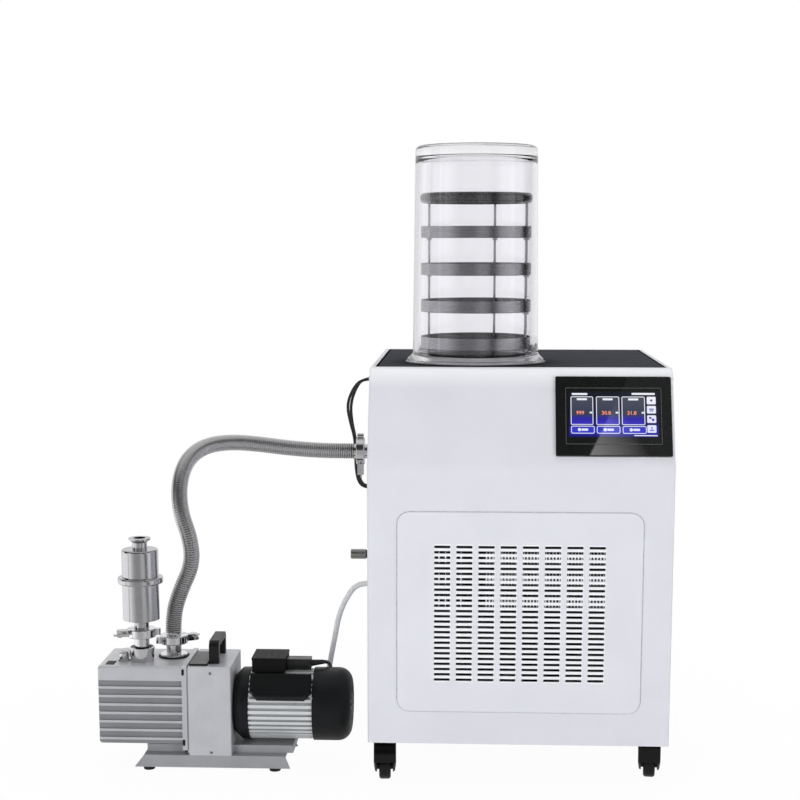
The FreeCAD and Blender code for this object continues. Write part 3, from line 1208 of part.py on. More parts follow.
def terminal_box():
    """Terminal box with its lid, seated on the stator."""
    owner = body("terminal_blank", at(PUMP, "term_from"))
    for low, high, inset in (("motor_z + stator_r / 2", "motor_z + motor_r", "term_lid"),
                             ("motor_z + motor_r", "term_top - term_lid", "seam")):
        wall = sketch(owner, "XY_Plane", low)
        rectangle(wall, inset, f"-term_deep / 2 + {inset}", f"term_long - {inset}",
                  f"term_deep / 2 - {inset}")
        pad(owner, wall, f"{high} - ({low})")
    lid = rectangle(sketch(owner, "XY_Plane", "term_top - term_lid"), "0", "-term_deep / 2",
                    "term_long", "term_deep / 2")
    pad(owner, lid, "term_lid")
    fillet(owner, "sheet / 2", straight_edge(Z_AXIS))
    return node(cut(owner, stator_envelope()), "terminal_box")


def lead_connector():
    """Moulded connector of the lead, plugged into the terminal box."""
    owner = body("lead_connector", at(PUMP, "term_from + term_long", "0", "link_low"))
    outline = rectangle(sketch(owner, "XY_Plane"), "0", "-link_deep / 2", "link_long",
                        "link_deep / 2")
    pad(owner, outline, "link_high")
    fillet(owner, "link_high / 5", straight_edge(X_AXIS), straight_edge(Z_AXIS, x=["link_long"]))
    return node(owner, "lead_connector")


# ---------------------------------------------------------------- cords

BEND_SHARE = 0.45

ROUTES = {
    "vacuum_hose": (
        at(CABINET, "-(port_long + stub_long)", "port_y", "port_z"),
        [(-97, 10, 559), (-140, 9.5, 560.5), (-191, 6, 565), (-243, -3, 573), (-294, -20, 579),
         (-339, -47, 575), (-367, -83, 554), (-377, -117, 514), (-372, -138, 465),
         (-352, -149, 415), (-348, -154, 369), (-371, -155, 320), (-385.5, -154, 275)],
        at(PUMP, "inlet_port_x", "inlet_port_y", "oil_top + inlet_port_high + stub_long"),
        "hose_r"),
    "cable_outer": (
        at(CABINET, "-gland_long", "gland_y - gland_pitch / 2", "gland_high_z"),
        [(-49, 40, 694), (-66, 40, 676), (-78, 40, 645), (-72, 40, 612), (-63, 40, 581),
         (-62, 40, 549), (-61, 40, 519), (-56, 40, 494), (-43, 40, 484)],
        at(CABINET, "-gland_long", "gland_y - gland_pitch / 2", "gland_low_z"),
        "cable_r"),
    "cable_inner": (
        at(CABINET, "-gland_long", "gland_y + gland_pitch / 2", "gland_high_z"),
        [(-48, 56, 694), (-62, 56, 675), (-72, 56, 645), (-70, 56, 612), (-63, 56, 580),
         (-59, 56, 549), (-57, 56, 519), (-54, 56, 494.5), (-43, 56, 484)],
        at(CABINET, "-gland_long", "gland_y + gland_pitch / 2", "gland_low_z"),
        "cable_r"),
    "drain_tube": (
        at(CABINET, "-(barb_seat + barb_long)", "barb_y", "barb_z"),
        [(-58, 0, 303), (-79, 1, 272), (-93, 3, 238), (-100, 6, 200), (-108, 9, 160),
         (-115, 12, 120), (-120, 18, 80), (-128, 28, 42), (-150, 36, 14), (-185, 42, 5.5)],
        ("-215", "46", "drain_r + floor_gap"),
        "drain_r"),
    "pump_lead": (
        at(PUMP, "term_from + term_long + link_long", "0", "link_low + link_high / 2"),
        [(-113, -163.5, 190), (-102, -149, 187), (-98, -127, 176), (-99, -103, 156),
         (-107, -84, 127), (-127, -72, 94), (-157, -64, 62), (-193, -57, 33), (-231, -47, 11),
         (-263, -27, 3.8), (-281, 3, 3.8)],
        ("coil_x + coil_r + lead_r * 2", "coil_y - lead_r * 2", "lead_r + floor_gap"),
        "lead_r"),
}


def cord(label):
    """A round cord along straight runs and the arcs that join them."""
    start, between, end, radius = ROUTES[label]
    points = [FreeCAD.Vector(*map(num, start)), *(FreeCAD.Vector(*spot) for spot in between),
              FreeCAD.Vector(*map(num, end))]
    edges, here, tightest = [], points[0], math.inf
    for before, corner, after in zip(points, points[1:], points[2:]):
        back, ahead = before - corner, after - corner
        reach = BEND_SHARE * min(back.Length, ahead.Length)
        half_turn = (math.pi - back.getAngle(ahead)) / 2
        bend = reach / math.tan(half_turn)
        tightest = min(tightest, bend)
        back.normalize()
        ahead.normalize()
        inward = (back + ahead).normalize()
        first, last = corner + back * reach, corner + ahead * reach
        middle = corner + inward * (bend / math.cos(half_turn) - bend)
        edges += [Part.LineSegment(here, first).toShape(), Part.Arc(first, middle, last).toShape()]
        here = last
    edges.append(Part.LineSegment(here, points[-1]).toShape())
    path = Part.Wire(edges)
    section = Part.Circle(points[0], points[1] - points[0], num(radius)).toShape()
    made = doc.addObject("Part::Feature", label)
    made.Shape = path.makePipeShell([Part.Wire([section])], True, False)
    full = math.pi * num(radius) ** 2 * path.Length
    print(f"{label}: length {path.Length:.0f}, tightest bend {tightest:.0f},"
          f" volume {made.Shape.Volume / full:.3f} of section by length")
    return node(made, label)


def pump_lead_coil():
    """The outer shape of the coiled rest of the lead, on the floor."""
    spot = ("coil_x", "coil_y", "floor_gap")
    high = "lead_r * 2 * (1 + sin(60))"
    owner = turned("pump_lead_coil", [
        ("coil_r - lead_r * 3", "0"), ("coil_r + lead_r * 3", "0"),
        ("coil_r + lead_r * 3", high), ("coil_r - lead_r * 3", high)], spot)
    fillet(owner, "lead_r * 0.9", *(ring_edge(f"coil_r {side} lead_r * 3", z)
                                    for side in "+-" for z in ("0", high)))
    return node(owner, "pump_lead_coil")


def pump_plug():
    """Plug with three round pins, at the end of the lead beside the coil."""
    middle = "floor_gap + plug_high / 2"
    spot = ("coil_x - coil_r - lead_r * 2", "coil_y - lead_r * 2", middle)
    owner = body("pump_plug", spot)
    sleeve = circle(sketch(owner, "XZ_Plane"), "0", "0", "sleeve_r")
    pad(owner, sleeve, "sleeve_long")
    front = rectangle(sketch(owner, "XZ_Plane", "sleeve_long"), "-plug_wide / 2", "-plug_high / 2",
                      "plug_wide / 2", "plug_high / 2")
    pad(owner, front, "plug_long")
    fillet(owner, "plug_high / 4", straight_edge(Y_AXIS), straight_edge(
        Z_AXIS, y=["-sleeve_long"]))
    pins = sketch(owner, "XZ_Plane", "sleeve_long + plug_long")
    for side in (-1, 1):
        circle(pins, f"{side} * plug_pin_apart / 2", "-plug_pin_r", "plug_pin_r")
    circle(pins, "0", "plug_pin_r * 1.5", "plug_pin_r")
    pad(owner, pins, "plug_pin_long")
    return node(owner, "pump_plug")


# ---------------------------------------------------------------- build, check and export

for make in (base_pan, front_cover, side_panels, rear_panel, top_plate, access_panel, touch_panel,
             bell_jar, bell_seal, cold_trap, tray_rack, trays, compressor, condenser_core, fan,
             control_box, power_inlet, rocker_switch, caster_plates):
    make()
for corner in CASTERS:
    caster(*corner)
for make in (vacuum_port, hose_flanges, kf_clamps, side_fittings, vent_knob, pump_base, pump_feet,
             oil_box, pump_block, pump_handle, ballast_knob, pump_ports, mist_filter,
             motor_end_shield, motor_stator, motor_cowl, motor_rotor, capacitor_housing,
             terminal_box, lead_connector, pump_lead_coil, pump_plug):
    make()
for name in ROUTES:
    cord(name)
doc.recompute()

faults = [f"{thing.Name} of {getattr(thing.getParentGeoFeatureGroup(), 'Label', 'the model')}"
          for thing in doc.Objects if {"Invalid", "Error"} & set(thing.State)]
if faults:
    raise RuntimeError("not built: " + ", ".join(faults))
os.makedirs("parts", exist_ok=True)
for thing in NODES:
    shape = thing.Shape
    if not shape.isValid() or not shape.Solids:
        raise RuntimeError(f"{thing.Label}: not a valid solid")
    shape.exportStep(f"parts/{thing.Label}.step")
    print(f"{thing.Label}: {len(shape.Solids)} solids, {shape.Volume / 1000:.1f} cm3")
print(len(NODES), "nodes")
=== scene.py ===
import json
import math

import bmesh
import bpy
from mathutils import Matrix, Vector


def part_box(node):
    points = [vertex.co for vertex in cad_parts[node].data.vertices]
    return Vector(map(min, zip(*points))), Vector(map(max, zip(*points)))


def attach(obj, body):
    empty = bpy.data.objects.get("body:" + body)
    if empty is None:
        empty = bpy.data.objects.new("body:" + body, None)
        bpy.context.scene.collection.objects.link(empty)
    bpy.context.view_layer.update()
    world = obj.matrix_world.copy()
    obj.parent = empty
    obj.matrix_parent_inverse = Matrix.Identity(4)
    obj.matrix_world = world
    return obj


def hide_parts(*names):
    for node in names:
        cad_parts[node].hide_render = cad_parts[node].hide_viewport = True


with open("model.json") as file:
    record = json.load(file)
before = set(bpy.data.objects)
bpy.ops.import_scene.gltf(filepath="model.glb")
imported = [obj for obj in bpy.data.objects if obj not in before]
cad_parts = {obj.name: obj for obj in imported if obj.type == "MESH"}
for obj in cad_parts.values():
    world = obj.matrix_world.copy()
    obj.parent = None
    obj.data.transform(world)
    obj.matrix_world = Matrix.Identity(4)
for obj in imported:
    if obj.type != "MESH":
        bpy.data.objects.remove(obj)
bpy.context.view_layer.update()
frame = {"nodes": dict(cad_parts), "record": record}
cad = frame["nodes"]

MM = 0.001

# places and sizes in millimetres that more than one section needs
BELL_AXIS = (167.5, -75.0, 738.6)
PUMP_LEFT, PUMP_Y, MOTOR_Z = -511.5, -165, 112
SLOT_X, SLOT_STEP, SLOT_WIDE, SLOT_COLUMNS = 98.55, 38.3, 27.8, 8


def mm(*numbers):
    """Millimetres as a point in metres."""
    return Vector(numbers) * MM


BELL_FOOT = tuple(mm(*BELL_AXIS))


def link(name, data):
    thing = bpy.data.objects.new(name, data)
    bpy.context.collection.objects.link(thing)
    return thing


def polar(radius, angle, height=0.0):
    """The point at a radius and an angle about Z."""
    return Vector((radius * math.cos(angle), radius * math.sin(angle), height))


def tone(red, green, blue):
    """A colour given as 0 to 255 on a screen, as the linear colour that a shader takes."""
    shares = (value / 255 for value in (red, green, blue))
    return tuple(s / 12.92 if s <= 0.04045 else ((s + 0.055) / 1.055) ** 2.4
                 for s in shares) + (1.0,)


def shade(colour, share):
    """A colour made darker or lighter by a share."""
    return tuple(c * share for c in colour[:3]) + (1.0,)


# ---------------------------------------------------------------- node trees

def operator(operation, swapped=False):
    """An arithmetic operator that adds a Math node to the signal's tree."""
    def apply(self, other):
        first, second = (other, self) if swapped else (self, other)
        return self.tree.calculate(operation, first, second)
    return apply


class Signal:
    """A socket in a node tree. Arithmetic on it adds the tree's own Math nodes."""

    def __init__(self, tree, socket):
        self.tree = tree
        self.socket = socket

    __add__ = __radd__ = operator("ADD")
    __sub__, __rsub__ = operator("SUBTRACT"), operator("SUBTRACT", swapped=True)
    __mul__ = __rmul__ = operator("MULTIPLY")
    __truediv__ = operator("DIVIDE")
    __pow__ = operator("POWER")
    __gt__ = operator("GREATER_THAN")
    __lt__ = operator("LESS_THAN")


class Tree:
    """A node tree that is written as calls: one method makes every node that isn't arithmetic."""

    def __init__(self, tree):
        self.tree = tree

    def node(self, kind, settings=None, inputs=None, output=0):
        node = self.tree.nodes.new(kind)
        for name, value in (settings or {}).items():
            if name == "stops":
                ramp = node.color_ramp
                while len(ramp.elements) < len(value):
                    ramp.elements.new(1.0)
                for stop, (place, colour) in zip(ramp.elements, value):
                    stop.position, stop.color = place, colour
            else:
                setattr(node, name, value)
        for name, value in (inputs or {}).items():
            self.feed(node.inputs[name], value)
        return Signal(self, node.outputs[output])

    def feed(self, socket, value):
        if isinstance(value, Signal):
            self.tree.links.new(value.socket, socket)
        else:
            socket.default_value = value

    def calculate(self, operation, *values):
        """One Math node."""
        return self.node("ShaderNodeMath", {"operation": operation}, dict(enumerate(values)))

    def between(self, signal, low, high, start=0.3, end=0.7):
        """A value that goes from low to high as the signal goes from start to end."""
        return self.node("ShaderNodeMapRange", {"clamp": True}, {
            "Value": signal, "From Min": start, "From Max": end, "To Min": low, "To Max": high})

    def mix(self, factor, first, second):
        """The first colour where the factor is 0 and the second where it is 1."""
        return self.node("ShaderNodeMix", {"data_type": "RGBA"}, {0: factor, 6: first, 7: second},
                         output=2)

    def colour(self, signal, first, second, start=0.3, end=0.7):
        """A colour that goes from the first to the second as the signal goes from start to end."""
        return self.mix(self.between(signal, 0.0, 1.0, start, end), first, second)

    def largest(self, first, *others):
        for other in others:
            first = self.calculate("MAXIMUM", first, other)
        return first


class Finish(Tree):
    """One finish: a Principled shader and what varies over the surface.

    Patterns are in metres on Object coordinates.
    """

    def __init__(self, name, **plain):
        self.material = bpy.data.materials.new(name)
        self.material.use_nodes = True
        super().__init__(self.material.node_tree)
        self.shader = self.tree.nodes["Principled BSDF"]
        for socket, value in plain.items():
            self.set(socket.replace("_", " ").title().replace("Ior", "IOR"), value)

    def set(self, socket, value):
        self.feed(self.shader.inputs[socket], value)
        return self

    def place(self, centre=(0, 0, 0), turn=(0, 0, 0), grain=(1, 1, 1)):
        """Object coordinates about a centre, turned, and counted in grains of a size in metres."""
        point = self.node("ShaderNodeTexCoord", output="Object")
        moved = self.node("ShaderNodeVectorMath", {"operation": "SUBTRACT"}, {0: point, 1: centre})
        turned = self.node("ShaderNodeMapping", {}, {"Vector": moved, "Rotation": turn})
        return self.node("ShaderNodeVectorMath", {"operation": "DIVIDE"}, {0: turned, 1: grain})

    def axes(self, **placing):
        """The three Object coordinates about a centre, in metres."""
        point = self.place(**placing)
        return [self.node("ShaderNodeSeparateXYZ", {}, {0: point}, output=axis) for axis in "XYZ"]

    def noise(self, grain, detail=2.0, **placing):
        size = grain if isinstance(grain, tuple) else (grain,) * 3
        return self.node("ShaderNodeTexNoise", {}, {
            "Vector": self.place(grain=size, **placing), "Scale": 1.0, "Detail": detail})

    def cells(self, grain, **settings):
        return self.node("ShaderNodeTexVoronoi", settings, {
            "Vector": self.place(grain=(grain,) * 3), "Scale": 1.0})

    def relief(self, height, depth):
        """Raises the surface by the height signal, whose 1 stands for the depth in metres."""
        self.set("Normal", self.node("ShaderNodeBump", {}, {
            "Height": height, "Distance": depth, "Strength": 1.0}))
        return self


# ---------------------------------------------------------------- finishes

def powder_of(name, colour, rough=0.42, grain=0.0012, depth=0.000014):
    """Stoved powder paint: a fine orange peel, and a drift of tone that is only just there."""
    f = Finish(name)
    f.tint = f.colour(f.noise(0.09, detail=3.0), shade(colour, 0.97), shade(colour, 1.012))
    f.set("Base Color", f.tint)
    f.set("Roughness", f.between(f.noise(0.03), rough - 0.05, rough + 0.05))
    return f.relief(f.noise(grain), depth)


def powder_coat(name, colour, **plain):
    return powder_of(name, colour, **plain).material


def highlit_top_coat(name, colour, lip, fade=(0.7, 0.732)):
    """The cabinet's powder paint, with a painted highlight that makes it lighter towards the top
    edge.
    """
    f = powder_of(name, colour)
    # the band at the top edge and its lip colour are a painted highlight
    rim = f.between(f.axes()[2], 0.0, 1.0, *fade)
    return f.set("Base Color", f.mix(rim, f.tint, lip)).material


def slotted_coat(name, colour, bars, low=190.0, high=435.5, margin=0.8):
    """Powder paint that is lighter on the thin bars between the slots, which is a painted highlight.
    """
    f = powder_of(name, colour)
    x, _, z = f.axes(centre=(SLOT_X * MM, 0, 0))
    along = f.calculate("FRACT", x / (SLOT_STEP * MM))
    band = ((along < (SLOT_WIDE + margin) / SLOT_STEP) * (x > -margin * MM)
            * (x < (SLOT_STEP * SLOT_COLUMNS) * MM))
    barred = band * (z > low * MM) * (z < high * MM)
    # the bars' lighter colour is a painted highlight
    return f.set("Base Color", f.mix(barred, f.tint, bars)).material


def rubber(name, colour, rough=0.55, grain=0.0006, depth=0.00002, **plain):
    """Rubber and soft plastic: matt, dusty in patches, with a fine tooth."""
    f = Finish(name, **plain)
    dust = f.noise(0.012, detail=4.0)
    f.set("Base Color", f.colour(dust, colour, shade(colour, 1.7)))
    f.set("Roughness", f.between(dust, rough - 0.08, rough + 0.1))
    return f.relief(f.noise(grain), depth).material


def moulded(name, colour, rough=0.38, grain=0.0009, depth=0.00003, **plain):
    """Injection-moulded plastic with a spark-eroded grain."""
    f = Finish(name, **plain)
    pits = f.cells(grain, feature="SMOOTH_F1")
    f.set("Base Color", f.colour(f.noise(0.02), colour, shade(colour, 1.25)))
    f.set("Roughness", f.between(f.noise(0.006, detail=3.0), rough - 0.06, rough + 0.08))
    return f.relief(pits, depth).material


def brushed(name, colour, grain, rough=0.3, contrast=0.18, depth=0.000012, **plain):
    """Metal brushed one way: the grain's long side lies along the strokes."""
    f = Finish(name, metallic=1.0, **plain)
    strokes = f.noise(grain, detail=4.0)
    cloud = f.noise(0.035, detail=3.0)
    f.set("Base Color", f.colour(strokes * 0.7 + cloud * 0.3, shade(colour, 1 - contrast), colour))
    f.set("Roughness", f.between(strokes, rough - 0.09, rough + 0.11))
    return f.relief(strokes, depth).material


def corrugated(name, colour):
    """Bright bellows tube: its own attribute says how deep in a groove each point lies, and the
    grooves are darkened with painted shade.
    """
    f = Finish(name, metallic=1.0)
    deep = f.node("ShaderNodeAttribute", {"attribute_name": "groove"}, output="Fac")
    cloud = f.noise(0.01, detail=3.0)
    bright = f.colour(cloud, shade(colour, 0.88), colour)
    # painted shade: darker the deeper a point lies in a groove
    f.set("Base Color", f.mix(deep * 0.7, bright, tone(60, 60, 62)))
    f.set("Roughness", f.between(cloud, 0.27, 0.36))
    return f.material


def polished(name, colour, rough=0.09, **plain):
    """Polished steel with handling marks in its gloss and a trace of turning."""
    f = Finish(name, metallic=1.0, **plain)
    marks = f.noise(0.011, detail=5.0)
    f.set("Base Color", f.colour(marks, shade(colour, 0.92), colour))
    f.set("Roughness", f.between(marks, rough - 0.04, rough + 0.08))
    return f.relief(f.noise((0.02, 0.02, 0.0003)), 0.000002).material


def enamel_of(name, colour, rough=0.36, metal=0.25, **plain):
    """Silver-grey machine enamel sprayed on a casting, with fine metal flakes in it."""
    f = Finish(name, metallic=metal, **plain)
    flakes = f.cells(0.0009, feature="F1")
    drift = f.noise(0.04, detail=4.0)
    f.tint = f.colour(drift * 0.6 + flakes * 0.4, shade(colour, 0.88), shade(colour, 1.06))
    f.set("Base Color", f.tint)
    f.set("Roughness", f.between(drift, rough - 0.05, rough + 0.07))
    return f.relief(f.noise(0.0014, detail=3.0), 0.00003)


def enamel(name, colour, **plain):
    return enamel_of(name, colour, **plain).material


def acrylic(name):
    """Clear cast acrylic: a breath of violet, faint waviness, a dull foot and a crown made grey by
    painted shade.
    """
    f = Finish(name, ior=1.49, transmission_weight=1.0)
    wave = f.noise((0.05, 0.05, 0.16), detail=1.0)
    height = f.axes(centre=BELL_FOOT)[2]
    wall, crown = (0.93, 0.928, 0.953, 1.0), (0.87, 0.87, 0.893, 1.0)
    f.set("Roughness", f.between(height, 0.16, 0.0, 0.006, 0.011))
    # the grey crown is painted shade
    f.set("Base Color", f.colour(height, wall, crown, 0.366, 0.377))
    return f.relief(wave, 0.00002).material


def tubing(name):
    """Milky silicone tube: light comes through the wall."""
    f = Finish(name, ior=1.41, transmission_weight=0.2)
    cloud = f.noise(0.008, detail=3.0)
    f.set("Base Color", f.colour(cloud, tone(232, 234, 235), tone(243, 245, 246)))
    f.set("Roughness", f.between(cloud, 0.28, 0.4))
    return f.material


def ribbed_casting(name, colour, rib_low=47.5, rib_step=15.8, gap=0.715, top=169.4, lid_at=195.5):
    """The machine enamel of the oil box, with painted shade in the grooves between its ribs and a
    painted highlight on its lid.
    """
    f = enamel_of(name, colour)
    x, y, z = f.axes(centre=(PUMP_LEFT * MM, PUMP_Y * MM, rib_low * MM))
    along = f.calculate("FRACT", z / (rib_step * MM))
    shelf = f.between(along, 1.0, 0.0, gap - 0.03, gap + 0.03)
    sunk = f.between(f.calculate("ABSOLUTE", y), 1.0, 0.0, 0.0632, 0.0664)
    groove = shelf * sunk * (z < (top - rib_low) * MM) * (z > 0.0) * (x > 0.0003)
    # painted shade in the grooves between the ribs
    dull = f.mix(groove * 0.5, f.tint, (0, 0, 0, 1))
    # painted highlight: the lid is lightened towards white
    lid = z > (lid_at - rib_low) * MM
    return f.set("Base Color", f.mix(lid * 0.25, dull, (1, 1, 1, 1))).material


def finned_casting(name, crest, valley_shade):
    """Silver on the crests of the motor's cooling fins and grey between them, where painted shade
    darkens the valleys.
    """
    f = enamel_of(name, crest, metal=0.3, rough=0.32)
    y, z = f.axes(centre=(0, PUMP_Y * MM, MOTOR_Z * MM))[1:]
    depth = f.between((y * y + z * z) ** 0.5, 1.0, 0.0, 0.0618, 0.0641)
    # painted shade in the valleys between the fins
    return f.set("Base Color", f.mix(depth, f.tint, valley_shade)).material


def lipped_seal(name, pale, lip):
    """Silicone ring, pale where the bell stands on it, with a black outer lip."""
    f = Finish(name, roughness=0.45)
    x, y, _ = f.axes(centre=BELL_FOOT)
    out = f.between((x * x + y * y) ** 0.5, 0.0, 1.0, 0.1252, 0.1256)
    f.set("Base Color", f.mix(out, pale, lip))
    return f.relief(f.noise(0.0008), 0.00001).material


def bordered_plate(name, colour, border, wide=4.0):
    """Laminate of the top plate with its dark border, darker again round the foot of the bell."""
    f = Finish(name, specular_ior_level=0.0)
    low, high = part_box("top_plate")
    middle, half = (low + high) / 2, (high - low) / 2
    x, y, _ = f.axes(centre=tuple(middle))
    edge = f.largest(*(f.calculate("ABSOLUTE", value) - size
                       for value, size in ((x, half.x - wide * MM), (y, half.y - wide * MM))))
    x, y, _ = f.axes(centre=BELL_FOOT)
    shadow = f.between((x * x + y * y) ** 0.5, 0.45, 0.0, 0.12, 0.165)
    lift = f.noise(0.09, detail=3.0)
    field = f.colour(lift, shade(colour, 0.94), shade(colour, 1.05))
    dark = f.largest(f.between(edge, 0.0, 1.0, -0.0004, 0.0004), shadow)
    f.set("Base Color", f.mix(dark, field, border))
    f.set("Roughness", f.between(f.noise(0.02), 0.5, 0.62))
    return f.relief(f.noise(0.0009), 0.00001).material


def fin_stack(name, colour):
    """Thin aluminium fins: painted highlights on their edges one by one along X, and painted shade
    in the gaps.
    """
    f = Finish(name, metallic=0.75)
    edges = f.noise((0.0011, 0.2, 0.2), detail=1.0)
    # painted highlight on the fin edges and painted shade in the gaps
    f.set("Base Color", f.colour(edges, shade(colour, 0.75), colour))
    f.set("Roughness", f.between(edges, 0.3, 0.45))
    return f.material


FINISHES = {
    "cabinet_white": powder_coat("powder_white", tone(216, 217, 224)),
    "plate_charcoal": bordered_plate("plate_charcoal", tone(77, 78, 83), tone(26, 26, 29)),
    "clear_plastic": acrylic("bell_acrylic"),
    "seal_rubber": rubber("seal_rubber", tone(20, 20, 21), rough=0.5, specular_ior_level=0.3),
    "stainless": brushed("stainless_brushed", tone(150, 150, 153), (0.05, 0.05, 0.0004), rough=0.24,
                         contrast=0.07, depth=0.000004),
    "polished_steel": polished("steel_polished", tone(225, 225, 227)),
    "hoop_dark": moulded("hoop_dark", tone(24, 23, 27), rough=0.25, depth=0.000004,
                         coat_weight=0.3),
    "display_black": moulded("bezel_black", tone(16, 17, 17), rough=0.3, depth=0.0,
                             specular_ior_level=0.1, coat_weight=1.0, coat_roughness=0.02),
    "black_metal": powder_coat("compressor_black", tone(38, 38, 40), grain=0.002, depth=0.00004),
    "fins": fin_stack("condenser_fins", tone(222, 223, 226)),
    "black_plastic": moulded("plastic_black", tone(18, 18, 19), specular_ior_level=0.3),
    "grey_box": powder_coat("box_grey", tone(176, 178, 182), rough=0.45),
    "zinc": brushed("zinc_plate", tone(190, 190, 188), (0.03, 0.004, 0.004), rough=0.4),
    "tyre_black": rubber("tyre_black", tone(9, 9, 10), rough=0.3, specular_ior_level=0.3),
    "hose_steel": corrugated("hose_steel", tone(205, 204, 205)),
    "cable_black": rubber("cable_black", tone(22, 22, 23), rough=0.32, depth=0.000008),
    "drain_clear": tubing("drain_silicone"),
    "pump_grey": ribbed_casting("pump_enamel", tone(184, 185, 190)),
    "stator_silver": finned_casting("stator_cast", tone(218, 221, 223), tone(158, 161, 164)),
    "motor_black": moulded("motor_black", tone(19, 20, 22), rough=0.4, grain=0.0016,
                           specular_ior_level=0.22),
}
NODE_FINISHES = {
    # the front cover is lighter at its top edge: a painted highlight
    "front_cover": highlit_top_coat("cover_white", tone(215, 216, 223), tone(236, 237, 241)),
    "bell_seal": lipped_seal("bell_seal", tone(236, 236, 238), tone(16, 16, 17)),
    "access_panel": slotted_coat("panel_white", tone(217, 218, 225), tone(235, 236, 240)),
    "pump_block": enamel("block_enamel", tone(191, 192, 197)),
    # the base is a darker copy of the pump's enamel: painted shade from the motor above it
    "pump_base": enamel("base_enamel", tone(158, 159, 163)),
    "mist_filter": polished("filter_steel", tone(192, 192, 195), rough=0.1),
    "vent_knob": brushed("knob_steel", tone(172, 172, 168), (0.0006, 0.01, 0.01), rough=0.35),
    "terminal_box": moulded("box_black", tone(17, 17, 18), rough=0.5, specular_ior_level=0.12),
    "capacitor_housing": moulded("housing_black", tone(15, 16, 17), rough=0.45,
                                 specular_ior_level=0.15),
    "cold_trap": polished("trap_steel", tone(222, 222, 224), rough=0.22),
    "tray_rack": polished("rack_steel", tone(190, 190, 194), rough=0.2),
    "condenser_core": fin_stack("condenser_shade", tone(60, 60, 62)),
}

slot_of = {part["node"]: part["material_slot"] for part in frame["record"]["subparts"]}


def dress(node, finish):
    """Gives a carried-over solid its finish."""
    mesh = cad[node].data
    if mesh.materials:
        cad[node].material_slots[0].material = finish
    else:
        mesh.materials.append(finish)


for node, slot in slot_of.items():
    dress(node, NODE_FINISHES.get(node, FINISHES[slot]))


# ---------------------------------------------------------------- camera

camera = link("camera", bpy.data.cameras.new("camera"))
camera.data.lens = 72
camera.data.sensor_width = 36
camera.data.shift_y = 0.11
camera.location = (0.1628, -3.014, 0.948)
DOWNWARD, LEFTWARD = 8.64, 2.6
camera.rotation_euler = (math.radians(90 - DOWNWARD), 0, math.radians(LEFTWARD))
bpy.context.scene.camera = camera
bpy.context.scene.view_settings.view_transform = "Standard"


# ---------------------------------------------------------------- curves and cables

def line(name, points, resolution=10):
    """One smooth open curve with the given millimetre points as its control points."""
    curve = bpy.data.curves.new(name, "CURVE")
    curve.dimensions = "3D"
    curve.resolution_u = resolution
    spline = curve.splines.new("NURBS")
    spline.points.add(len(points) - 1)
    for knot, place in zip(spline.points, points):
        knot.co = (*mm(*place), 1.0)
    spline.order_u = 3
    spline.use_endpoint_u = True
    return link(name, curve)


def solid_cord(name, points, radius, finish):
    cord = line(name, points)
    cord.data.bevel_depth = radius * MM
    cord.data.bevel_resolution = 5
    cord.data.use_fill_caps = True
    cord.data.materials.append(finish)
    return cord


def as_mesh(thing):
    """The evaluated shape of an object as a plain mesh of its own."""
    bpy.context.view_layer.update()
    graph = bpy.context.evaluated_depsgraph_get()
    return bpy.data.meshes.new_from_object(thing.evaluated_get(graph))


def path_of(curve):
    """The points along a bare curve, in order."""
    return [tuple(v.co) for v in as_mesh(curve).vertices]


def length_of(points):
    return sum((Vector(b) - Vector(a)).length for a, b in zip(points, points[1:]))


CABLE_OUTER = [(-27.5, 40, 694), (-49, 40, 694), (-66, 40, 676), (-78, 40, 645), (-72, 40, 612),
               (-63, 40, 581), (-62, 40, 549), (-61, 40, 519), (-56, 40, 494), (-43, 40, 484),
               (-27.5, 40, 484)]
CABLE_INNER = [(-27.5, 56, 694), (-48, 56, 694), (-62, 56, 675), (-72, 56, 645), (-70, 56, 612),
               (-63, 56, 580), (-59, 56, 549), (-57, 56, 519), (-54, 56, 494.5), (-43, 56, 484),
               (-27.5, 56, 484)]
DRAIN = [(-36.5, 0, 303), (-58, 0, 303), (-79, 1, 272), (-93, 3, 238), (-100, 6, 200),
         (-108, 9, 160), (-115, 12, 120), (-120, 18, 80), (-128, 28, 42), (-150, 36, 14),
         (-185, 42, 5.5), (-215, 46, 5.5)]
HOSE = [(-62, 10, 559), (-97, 10, 559), (-140, 9.5, 560.5), (-191, 6, 565), (-243, -3, 573),
        (-294, -20, 579), (-339, -47, 575), (-367, -83, 554), (-377, -117, 514), (-372, -138, 465),
        (-352, -149, 415), (-348, -154, 369), (-371, -155, 320), (-385.5, -154, 275),
        (-385.5, -154, 241.5)]
LEAD = [(-129.5, -165, 188.5), (-113, -163.5, 190), (-102, -149, 187), (-98, -127, 176),
        (-99, -103, 156), (-107, -84, 127), (-127, -72, 94), (-157, -64, 62), (-193, -57, 33),
        (-231, -47, 11), (-263, -27, 3.8), (-281, 3, 3.8)]
CABLE_R, DRAIN_R, HOSE_R, LEAD_R = 2.8, 5.2, 15.0, 3.5

for name, node, points in (("feed_cable_outer", "cable_outer", CABLE_OUTER),
                           ("feed_cable_inner", "cable_inner", CABLE_INNER)):
    cable = solid_cord(name, points, CABLE_R, FINISHES["cable_black"])
    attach(cable, "freeze_dryer")
    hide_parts(node)
    mm(*points[0])


# ---------------------------------------------------------------- how pieces are made

